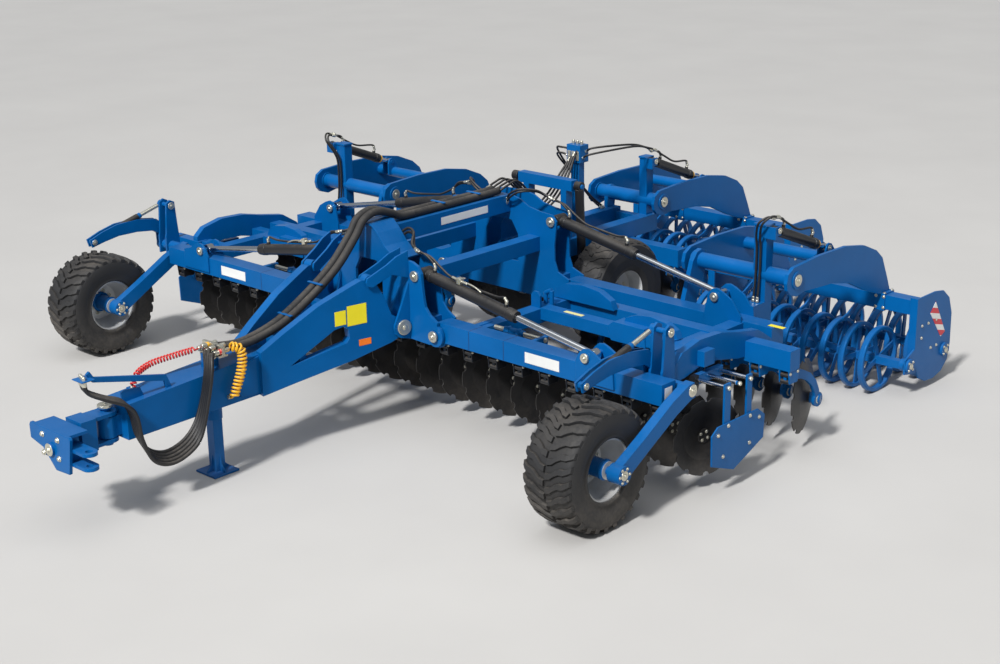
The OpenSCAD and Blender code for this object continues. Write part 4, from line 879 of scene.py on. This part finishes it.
def dress_fold_cylinder(hand, s, name, base, rod, y):
    body = hand + "_" + name + "_fold_barrel"
    a, d = cylinder_line(base, rod, s, y)
    low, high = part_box(body)
    length = abs(high.x - low.x) / abs(d.x) - 0.06
    end = a + d * (length - 0.005)
    up = Vector((0, 0, 1)) - d * d.z
    up.normalize()
    r = FOLD_BARREL_R
    gland = [(r + 0.0006, 0), (r + 0.0035, 0.003), (r + 0.0035, 0.055), (r - 0.004, 0.062)]
    lathe(body, "black", end - d * 0.075, d, gland, 32, kind="gland")
    collar = [(r + 0.0006, 0), (r + 0.003, 0.003), (r + 0.003, 0.02), (r + 0.0006, 0.023)]
    lathe(body, "black", a + d * 0.062, d, collar, 32, kind="gland")
    side = Vector((0, 1, 0))
    ports = (a + d * 0.10 + up * r, end - d * 0.10 + up * r)
    for p in ports:
        lathe(body, "black", p - up * 0.004, up, [(0.016, 0), (0.016, 0.02), (0.014, 0.022)], 16,
              kind="gland")
        lathe(body, "zinc", p + up * 0.016, up, [(0.0125, 0), (0.0125, 0.018), (0.011, 0.02)], 6)
    near, far = ports
    hose(body, [
        far + up * 0.038,
        far + up * 0.058 - d * 0.03,
        far - d * 0.12 + up * 0.030 + side * 0.012,
        far - d * 0.35 + up * 0.014 + side * 0.014,
        a + d * 0.26 + up * (r + 0.014) + side * 0.014,
        a + d * 0.14 + up * (r + 0.045) + side * 0.02,
        a + d * 0.02 + up * 0.135 + side * 0.02,
        a - d * 0.105 + up * 0.13 + side * 0.02,
    ], CYLINDER_HOSE_R)
    hose(body, [
        near + up * 0.038,
        near + up * 0.062 - d * 0.02,
        a + up * 0.15 - side * 0.012,
        a - d * 0.095 + up * 0.15 - side * 0.012,
    ], CYLINDER_HOSE_R)
    if name == "front":
        spot = a + d * 0.36 + up * (r + 0.001)
        lathe(body, "zinc", spot, up, [(0.026, 0), (0.026, 0.045), (0.022, 0.048)], 4, 0.78)
        for q in (-0.05, 0.0, 0.05):
            plug = spot + up * 0.025 + d * (q - 0.03)
            lathe(body, "zinc", plug, d, [(0.010, 0), (0.010, 0.05), (0.008, 0.056)], 6)
        pipe = [spot + up * 0.03 + d * 0.04, spot + up * 0.03 + d * 0.14, spot + up * 0.012 + d * 0.22]
        tube(body, "zinc", smooth_path(pipe, 5), 0.006, 8)


def dress_depth_cylinder(prefix, s, x, shift):
    body = prefix + "_depth_barrel"
    a = Vector((s * x, 3.360 + shift, 1.526))
    b = Vector((s * x, 4.057 + shift, 1.250))
    d = (b - a).normalized()
    up = Vector((0, -d.z, d.y))
    gland = [(0.0405, 0), (0.0435, 0.003), (0.0435, 0.048), (0.0385, 0.055)]
    lathe(body, "black", a + d * 0.540, d, gland, 28, kind="gland")
    wiper = [(0.0375, -0.001), (0.0375, 0.018), (0.030, 0.024)]
    lathe(body, "yellow", a + d * 0.600, d, wiper, 28, kind="wiper")
    for at in (0.10, 0.52):
        p = a + d * at + up * 0.038
        lathe(body, "black", p, up, [(0.015, 0), (0.015, 0.018)], 14, kind="gland")
        lathe(body, "zinc", p + up * 0.016, up, [(0.011, 0), (0.011, 0.018), (0.0095, 0.02)], 6)
    side = Vector((1, 0, 0)) * s
    hose(body, [
        a + d * 0.52 + up * 0.074,
        a + d * 0.48 + up * 0.105,
        a + d * 0.30 + up * 0.062 + side * 0.012,
        a + d * 0.14 + up * 0.075 + side * 0.016,
        a - d * 0.02 + up * 0.10 + side * 0.01,
    ], CYLINDER_HOSE_R)
    hose(body, [
        a + d * 0.10 + up * 0.074,
        a + d * 0.06 + up * 0.098,
        a - d * 0.03 + up * 0.09 - side * 0.012,
    ], CYLINDER_HOSE_R)


# Coiled hoses and couplers at the nose

LOOP_HOSE_R = 0.014


def loop_hose(k):
    """One hose of the loop beside the nose; at half steps of k it lies between two of the source's own."""
    x0, x1, x2, drop = 0.050 + 0.045 * k, 0.154 + 0.036 * k, 0.056 + 0.038 * k, 0.034 * k
    top = 0.940 + (k % 2) * 0.026 if k == int(k) else 0.911
    points = [(x0, -0.046, top), (x0, -0.062, top), (x0 + (x1 - x0) * 0.5, -0.112, 0.944),
              (x1, -0.152, 0.850), (x1, -0.196, 0.660), (x1, -0.280, 0.480 - drop),
              (x1, -0.400, 0.385 - drop), (x1, -0.550, 0.360 - drop), (x1, -0.680, 0.425 - drop),
              (x1, -0.756, 0.560 - drop / 2), (x1, -0.784, 0.700), (x1, -0.850, 0.820 - drop / 3),
              (x1 - (x1 - x2) * 0.4, -0.968 - drop / 3, 0.874), (x2, -1.056 - drop / 3, 0.930),
              (x2, -1.078 - drop / 3, 1.010)]
    tube("chassis", "hose", smooth_path(points), LOOP_HOSE_R, 12, "loop_bundle")
    tip = Vector(points[-1])
    plug = [(0.0165, -0.030), (0.0165, 0.004), (0.011, 0.006), (0.011, 0.034), (0.008, 0.038)]
    lathe("chassis", "zinc", tip, (0, 0, 1), plug, 14, kind="hose_tips")
    for point, d in ((tip, (0, 0, 1)), (Vector(points[0]), (0, -1, 0))):
        lathe("chassis", "zinc", point, d, [(0.0185, -0.006), (0.0185, 0.008)], 6, kind="hose_tips")


def lead(start, points, finish, r, kind):
    """Straight end of a coil, led to its fitting."""
    tube("chassis", finish, smooth_path([start] + points, 4), r, 8, kind)


# Radius of the yellow and of the red hose, and of a sleeve with hoses in it
YELLOW_R, RED_R, SLEEVE_R = 0.0085, 0.0065, 0.030
# Place along and up the spine and half width of the straps over the hoses
STRAPS = ((0.70, 0.985, 0.075), (1.00, 1.155, 0.078), (2.3, 1.531, 0.074), (2.7, 1.531, 0.074))


def dress_nose():
    middle = [(0.160, 0.072, 0.966), (0.190, 0.134, 0.93), (0.207, 0.117, 0.80), (0.200, 0.040, 0.610)]
    top, low = helix("chassis", "yellow", middle, 0.0285, YELLOW_R, 16, "yellow_coil")
    lead(top, [(0.128, 0.092, 0.952), (0.140, 0.066, 0.940)], "yellow", YELLOW_R, "yellow_coil")
    lead(low, [(0.160, 0.046, 0.590), (0.134, 0.044, 0.588)], "yellow", YELLOW_R, "yellow_coil")
    middle = [(-0.042, -0.10, 0.940), (-0.07, -0.24, 0.930), (-0.105, -0.42, 0.908), (-0.088, -0.55, 0.87),
              (-0.075, -0.60, 0.80)]
    near, far = helix("chassis", "red", middle, 0.0180, RED_R, 24, "red_coil")
    lead(near, [(-0.030, -0.085, 0.941), (-0.040, -0.062, 0.940)], "red", RED_R, "red_coil")
    lead(far, [(-0.062, -0.606, 0.800), (-0.066, -0.612, 0.790)], "red", RED_R, "red_coil")
    lathe("chassis", "zinc", (0.129, 0.044, 0.588), (1, 0, 0),
          [(0.016, 0), (0.016, 0.012), (0.012, 0.022)], 6)
    lathe("chassis", "zinc", (-0.066, -0.612, 0.791), (0, 0, 1),
          [(0.013, 0), (0.013, 0.008), (0.010, 0.014)], 6)
    block("chassis", "blue", (0.034, -1.130, 1.014), (0.154, -1.030, 1.022), 0.002, "straps")
    colours = ("red", "yellow", "blue", "black", "red")
    for i in range(5):
        x, z = -0.040 + i * 0.045, 0.940 + (i % 2) * 0.026
        socket = [(0.0178, -0.02), (0.0185, -0.002), (0.0185, 0.012), (0.014, 0.016)]
        lathe("chassis", "zinc", (x, -0.050, z), (0, -1, 0), socket, 18)
        cap = [(0.0172, 0), (0.0195, 0.002), (0.0195, 0.020), (0.0172, 0.022)]
        lathe("chassis", colours[i], (x, 0.0, z), (0, -1, 0), cap, 18, kind="caps")
        lathe("chassis", "zinc", (x, 0.060, z), (0, 1, 0),
              [(0.0178, -0.015), (0.0178, 0.006), (0.012, 0.01)], 6)
    for side in (-1, 1):
        nose = [(side * 0.028 + 0.020, 0.066, 0.930), (side * 0.030 + 0.015, 0.300, 0.905),
                (side * 0.034, 0.620, 0.960)]
        climb = [(0.900, 1.090), (1.180, 1.265), (1.380, 1.462), (1.460, 1.568), (1.545, 1.612),
                 (1.640, 1.616), (1.760, 1.580), (1.860, 1.538), (2.000, 1.533)]
        pair = nose + [(side * 0.036, y, z) for y, z in climb]
        tube("chassis", "sleeve", smooth_path(pair), SLEEVE_R, 16, "sleeved_pair")
        level = [(1.970, 1.5338), (2.1, 1.532), (2.4, 1.531), (2.8, 1.531), (2.96, 1.536)]
        bundle = [(side * 0.036, y, z) for y, z in level]
        tube("chassis", "sleeve", smooth_path(bundle, 5), SLEEVE_R, 14, "sleeved_bundle")
    for half_step in range(5):
        loop_hose(half_step / 2)
    for y, z, half in STRAPS:
        low, high = (-half, y - 0.012, z + 0.026), (half, y + 0.012, z + 0.036)
        block("chassis", "blue", low, high, 0.002, "straps")


# Hoses from the spine to the towers, valve post and cylinders

# Height of the wing frame's top in front of the roller column
COLUMN_FOOT = 0.960
# Radius of the hoses along the spine, out of the front tower, and over the rest of the frame
SPINE_HOSE_R, TOWER_HOSE_R, FRAME_HOSE_R = 0.0095, 0.0105, 0.009


def dress_hoses():
    post = 3.990
    for k in range(4):
        x = -0.051 + k * 0.034
        hose("chassis", [
            (x * 1.4, 2.94, 1.545),
            (x * 1.5, 3.03, 1.575),
            (x * 1.5, 3.15, 1.585),
            (x * 1.4, 3.32, 1.44),
            (x * 1.3, 3.50, 1.30),
            (x * 1.2, 3.66, 1.36),
            (x, 3.80, 1.50),
            (x * 0.8, 3.90, 1.60 + k * 0.02),
            (x * 0.8, 3.934, 1.63 + k * 0.025),
        ], SPINE_HOSE_R, ends=(k % 2 == 0))
    for hand, side in reversed(HANDS):
        for k in range(2):
            z = 1.64 + k * 0.05
            port = (side * 0.076, post - 0.02 + k * 0.04, z)
            if side < 0:
                hose("chassis", [
                    port,
                    (-0.15, post - 0.03, z + 0.02),
                    (-0.27, post + 0.05, z - 0.03),
                    (-0.26, 4.24, 1.40),
                    (-0.235, 4.44, 1.18 - k * 0.02),
                    (-0.215, 4.600 - k * 0.035, 1.046),
                ], FRAME_HOSE_R)
            else:
                hose("chassis", [
                    port,
                    (0.15, 3.96 + k * 0.04, z + 0.04),
                    (0.27 - k * 0.03, 4.14, 1.71 + k * 0.03),
                    (0.30 - k * 0.035, 4.42, 1.70 + k * 0.01),
                    (0.30 - k * 0.034, 4.60, 1.655),
                    (0.298 - k * 0.032, 4.686 - k * 0.013, 1.624 - k * 0.011),
                ], FRAME_HOSE_R)
        for k in range(2):
            hose("chassis", [
                (side * 0.12, 1.752, 1.40 + k * 0.03),
                (side * 0.19, 1.785, 1.45 + k * 0.03),
                (side * 0.27, 1.765, 1.445 + k * 0.02),
                (side * 0.345, 1.695 - k * 0.02, 1.390 + k * 0.017),
                (side * (0.4251 + k * 0.0131), 1.665 - k * 0.032, 1.3596 + k * 0.0181),
            ], TOWER_HOSE_R)
            hose("chassis", [
                (side * 0.10, 2.990, 1.44 + k * 0.03),
                (side * 0.17, 2.945, 1.50 + k * 0.03),
                (side * 0.27, 2.955, 1.560 + k * 0.02),
                (side * 0.36, 3.050 - k * 0.01, 1.560 + k * 0.012),
                (side * 0.400, 3.120 - k * 0.02, 1.520 + k * 0.017),
                (side * (0.4634 + k * 0.0136), 3.146 - k * 0.032, 1.4875 + k * 0.0177),
            ], FRAME_HOSE_R)
            hose(hand + "_wing", [
                (side * (2.468 - k * 0.032), 3.376 - k * 0.013, 1.624 - k * 0.011),
                (side * (2.462 - k * 0.034), 3.290, 1.640 - k * 0.01),
                (side * (2.415 - k * 0.034), 3.245, 1.585),
                (side * (2.368 - k * 0.034), 3.290, 1.480),
                (side * (2.355 - k * 0.034), 3.321, 1.380),
                (side * (2.353 - k * 0.034), 3.321, 1.165),
                (side * (2.353 - k * 0.034), 3.300, COLUMN_FOOT + 0.011),
            ], FRAME_HOSE_R)
    for k in range(3):
        plug = [(0.014, -0.001), (0.014, 0.03), (0.010, 0.034)]
        lathe("chassis", "zinc", (-0.045 + k * 0.045, post, 1.75), (0, 0, 1), plug, 6)
        block("chassis", "zinc", (-0.062 + k * 0.045, 3.925, 1.62), (-0.026 + k * 0.045, 3.936, 1.70),
              0.003)


# Setting spindle that lies behind each wing's front beam

SPINDLE_Y, SPINDLE_Z = 1.838, 0.858
SPINDLE_FROM, SPINDLE_TO = 0.985, 1.500
BEAM_BACK = FRONT_Y + BEAM_HALF


def dress_spindles():
    for hand, s in HANDS:
        wing = hand + "_wing"
        for x in (SPINDLE_FROM - 0.034, SPINDLE_TO):
            low, high = sorted((s * x, s * (x + 0.034)))
            block(wing, "blue", (low, BEAM_BACK - 0.001, 0.815), (high, BEAM_BACK + 0.150, 0.884), 0.004,
                  "spindle")
        foot = Vector((s * SPINDLE_FROM, SPINDLE_Y, SPINDLE_Z))
        for start, end in ((0.0, 0.170), (0.325, 0.515)):
            rings = thread(start, end, 0.0172, 0.0154, 0.0150)
            lathe(wing, "zinc", foot, (s, 0, 0), rings, 14, kind="spindle")
        barrel = [(0.020, 0.150), (0.027, 0.156), (0.027, 0.338), (0.020, 0.344)]
        lathe(wing, "blue", foot, (s, 0, 0), barrel, 24, kind="spindle")
        for at in (0.196, 0.298):
            nut = [(0.036, at - 0.014), (0.036, at + 0.014)]
            lathe(wing, "blue", foot, (s, 0, 0), nut, 6, kind="spindle")
        for x, out in ((SPINDLE_FROM - 0.034, -1), (SPINDLE_TO + 0.034, 1)):
            bolt(wing, (s * x, SPINDLE_Y, SPINDLE_Z), (s * out, 0, 0), 0.013)


# Stickers and boards, all blank, and painted shadow lines at the beams' joints

BEAM_TOP = 0.885
# Width and rise of the painted shadow lines where the beam sleeves end
SEAM_WIDTH, SEAM_RISE = 0.005, 0.0005


def on_front(s, x0, x1, y, z0, z1):
    """Corners of an upright field that faces forwards."""
    return [(s * x0, y, z0), (s * x1, y, z0), (s * x1, y, z1), (s * x0, y, z1)]


def on_top(s, x0, x1, y0, y1, z):
    """Corners of a level field."""
    return [(s * x0, y0, z), (s * x1, y0, z), (s * x1, y1, z), (s * x0, y1, z)]


def on_side(x, y0, y1, z0, z1):
    """Corners of an upright field that faces sideways."""
    return [(x, y0, z0), (x, y1, z0), (x, y1, z1), (x, y0, z1)]


def dress_signs():
    front = FRONT_Y - BEAM_HALF
    for hand, s in HANDS:
        wing = hand + "_wing"
        slab(wing, "white", on_front(s, 1.577, 1.901, front, 0.77, 0.85), (0, -1, 0))
        # Painted shadow lines at the ends of the beam's sleeve, on its front and top
        for x in (1.020, 1.366):
            over = x + SEAM_WIDTH
            slab(wing, "seam", on_front(s, x, over, front, 0.738, 0.882), (0, -1, 0), SEAM_RISE, "seams")
            ends = (front + 0.003, BEAM_BACK - 0.003)
            slab(wing, "seam", on_top(s, x, over, *ends, BEAM_TOP), (0, 0, 1), SEAM_RISE, "seams")
        slab(wing, "pale_yellow", on_top(s, 1.24, 1.42, 2.372, 2.412, BEAM_TOP), (0, 0, 1))
        for a0, a1, z0, z1, finish in ((0.571, 0.476, 0.925, 1.035, "bright_yellow"),
                                       (0.466, 0.300, 0.905, 1.060, "bright_yellow"),
                                       (0.375, 0.270, 0.735, 0.785, "orange")):
            pts = [on_leg(s, along, 0.035, z)[0] for along, z in ((a0, z0), (a1, z0), (a1, z1), (a0, z1))]
            slab("chassis", finish, pts, on_leg(s, 0, 0, 0)[1])
        slab("chassis", "white", on_side(s * 0.1, 2.23, 2.76, 1.40, 1.46), (s, 0, 0))
        board = [(4.819, 0.635), (4.897, 0.716), (5.078, 0.424), (5.011, 0.396)]
        slab(hand + "_roller_frame", "board", [(s * 2.970, y, z) for y, z in board], (s, 0, 0), 0.003)
    slab("left_wing", "bright_yellow", on_top(1, 2.600, 2.730, 3.085, 3.130, BEAM_TOP), (0, 0, 1))
    slab("left_wing", "white", on_side(2.8, 1.602, 1.682, 0.765, 0.855), (1, 0, 0))


# Rollers: bearing bolts, shaft ends and clamp bolts

# Name, side, ends in x, place further back than the wings' rollers, and the arms' places in x
ROLLERS = (
    ("left", 1, 0.955, 2.970, 0.0, (1.686, 2.621)),
    ("right", -1, 0.955, 2.970, 0.0, (1.686, 2.621)),
    ("centre", 1, -0.925, 0.925, MID_SHIFT, (-0.365, 0.365)),
)
END_PLATE_BOLTS = ((4.70, 0.56), (4.80, 0.56), (4.92, 0.56), (4.70, 0.46), (4.86, 0.34), (4.95, 0.34))


def dress_rollers():
    for name, s, x0, x1, shift, arms in ROLLERS:
        body = name + "_roller_frame"
        for x, out in ((x0, -1), (x1, 1)):
            for y in (4.530, 5.080):
                place = Vector((s * (x + out * 0.020), y + shift, 0.270))
                for k in range(4):
                    a = math.pi / 4 + math.pi / 2 * k
                    spot = place + Vector((0, 0.042 * math.cos(a), 0.042 * math.sin(a)))
                    bolt(body, spot, (s * out, 0, 0), 0.008)
                lathe(body, "zinc", place, (s * out, 0, 0), [(0.024, 0), (0.024, 0.006), (0.018, 0.01)], 20)
            for y, z in END_PLATE_BOLTS:
                bolt(body, (s * x, y + shift, z), (s * out, 0, 0))
        for x in arms:
            for dx in (-0.034, 0.034):
                for y in (4.642, 4.758):
                    bolt(body, (s * (x + dx), y + shift, 0.782), (0, 0, 1), 0.010)
            for z in (0.665, 0.755):
                for dx in (-0.034, 0.034):
                    bolt(body, (s * (x + dx), 4.628 + shift, z), (0, -1, 0))


# Deflectors: bright guide rods and bolts

GUIDE_X, GUIDE_LENGTH = 2.722, 0.233


def dress_deflectors():
    for hand, s in HANDS:
        wing = hand + "_wing"
        for y in (2.075, 2.200, 2.330):
            rod = [(0.0145, 0), (0.0152, 0.002), (0.0152, GUIDE_LENGTH - 0.002), (0.0145, GUIDE_LENGTH)]
            lathe(wing, "chrome", (s * GUIDE_X, y, 0.770), (s, 0, 0), rod, 18, kind="guide_rods")
            nut = [(0.017, 0), (0.017, 0.014), (0.014, 0.017)]
            lathe(wing, "zinc", (s * 2.975, y, 0.770), (s, 0, 0), nut, 6)
        for y, z in ((1.96, 0.46), (2.075, 0.50), (2.33, 0.50), (2.44, 0.46), (2.02, 0.29), (2.33, 0.30)):
            bolt(wing, (s * 2.986, y, z), (s, 0, 0), 0.010)


def build_parts():
    for (body, finish, kind), store in PARTS.items():
        name = f"{body}_{kind}_{finish}"
        mesh = bpy.data.meshes.new(name)
        mesh.from_pydata(store["verts"], [], store["faces"])
        mesh.polygons.foreach_set("use_smooth", store["smooth"])
        mesh.update()
        mesh.materials.append(FINISH[finish])
        obj = bpy.data.objects.new(name, mesh)
        bpy.context.scene.collection.objects.link(obj)
        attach(obj, body)
        if kind == "tyre" and finish == "tyre":
            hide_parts(body.replace("_support_wheel", "_wheel_tyre"))
        if kind in ("loop_bundle", "sleeved_pair"):
            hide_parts("black_hoses")
        if kind == "yellow_coil":
            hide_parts("yellow_coil_hose")
        if kind == "red_coil":
            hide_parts("red_coil_hose")


dress_discs()
dress_pins()
for hand_name, hand_side in HANDS:
    dress_support_wheel(hand_name)
    dress_road_wheel(hand_name, hand_side)
    dress_fold_cylinder(hand_name, hand_side, "front", FRONT_BASE, FRONT_ROD, FRONT_Y)
    dress_fold_cylinder(hand_name, hand_side, "rear", REAR_BASE, REAR_ROD, REAR_Y)
    dress_depth_cylinder(hand_name, hand_side, 2.450, 0.0)
dress_depth_cylinder("centre", 1, 0.280, MID_SHIFT)
dress_nose()
dress_hoses()
dress_spindles()
dress_signs()
dress_rollers()
dress_deflectors()
run_trees()
build_parts()


# Stage, lamps and camera

FLOOR_HALF, FLOOR_Z = 250, -0.001
FLOOR_TONES = ((0.47, 0.455, 0.435, 1), (0.53, 0.515, 0.49, 1))
SUN_POWER, SUN_PLACE, SUN_ANGLE = 3.9, (2, -9, 9), 0.10
LAMP_POWER, LAMP_PLACE, LAMP_AIM, LAMP_SIZE = 560, (2, 0, 11), (0, 2, 0), 12
SKY_COLOUR, SKY_STRENGTH = (0.80, 0.86, 0.95, 1), 0.34
# The camera as solved from the photo, turns in radians and focal length in pixels of its width
PHOTO_WIDTH, SENSOR_WIDTH, VIEW_END = 1000, 36, 600
YAW, PITCH, ROLL, FOCAL = 0.757848, 0.317210, -0.016629, 1639.12
CAMERA_PLACE = (9.00656, -6.53215, 4.60895)


def stage_material():
    mat = bpy.data.materials.new("pale floor")
    mat.use_nodes = True
    tree = mat.node_tree
    tone = mix_colour(tree, noise(tree, object_place(tree), 0.6), *FLOOR_TONES)
    feed(tree, tree.nodes["Principled BSDF"], {"Base Color": tone, "Roughness": 0.8})
    return mat


def add_floor():
    mesh = bpy.data.meshes.new("floor")
    corners = [(-FLOOR_HALF, -FLOOR_HALF, 0), (FLOOR_HALF, -FLOOR_HALF, 0), (FLOOR_HALF, FLOOR_HALF, 0),
               (-FLOOR_HALF, FLOOR_HALF, 0)]
    mesh.from_pydata(corners, [], [(0, 1, 2, 3)])
    floor = bpy.data.objects.new("floor", mesh)
    bpy.context.scene.collection.objects.link(floor)
    floor.location.z = FLOOR_Z
    mesh.materials.append(stage_material())


def add_light(name, kind, energy, place, aim, size=None, angle=None):
    data = bpy.data.lights.new(name, kind)
    data.energy = energy
    if size:
        data.size = size
    if angle:
        data.angle = angle
    obj = bpy.data.objects.new(name, data)
    obj.location = place
    obj.rotation_euler = (Vector(aim) - Vector(place)).to_track_quat("-Z", "Y").to_euler()
    bpy.context.scene.collection.objects.link(obj)


def add_camera():
    level = Vector((-math.sin(YAW), math.cos(YAW), 0))
    forward = level * math.cos(PITCH) - Vector((0, 0, math.sin(PITCH)))
    right = Vector((math.cos(YAW), math.sin(YAW), 0))
    up = right.cross(forward)
    rolled_right = right * math.cos(ROLL) + up * math.sin(ROLL)
    rolled_up = -right * math.sin(ROLL) + up * math.cos(ROLL)
    data = bpy.data.cameras.new("camera")
    data.sensor_width = SENSOR_WIDTH
    data.lens = FOCAL / PHOTO_WIDTH * SENSOR_WIDTH
    data.clip_end = VIEW_END
    cam = bpy.data.objects.new("camera", data)
    turn = Matrix((rolled_right, rolled_up, -forward)).transposed().to_4x4()
    cam.matrix_world = Matrix.Translation(CAMERA_PLACE) @ turn
    bpy.context.scene.collection.objects.link(cam)
    bpy.context.scene.camera = cam


add_floor()
add_light("sun", "SUN", SUN_POWER, SUN_PLACE, (0, 0, 0), angle=SUN_ANGLE)
add_light("sky", "AREA", LAMP_POWER, LAMP_PLACE, LAMP_AIM, size=LAMP_SIZE)
world = bpy.data.worlds.new("sky")
bpy.context.scene.world = world
world.use_nodes = True
sky = {"Color": SKY_COLOUR, "Strength": SKY_STRENGTH}
feed(world.node_tree, world.node_tree.nodes["Background"], sky)
add_camera()
bpy.context.scene.view_settings.view_transform = "Standard"
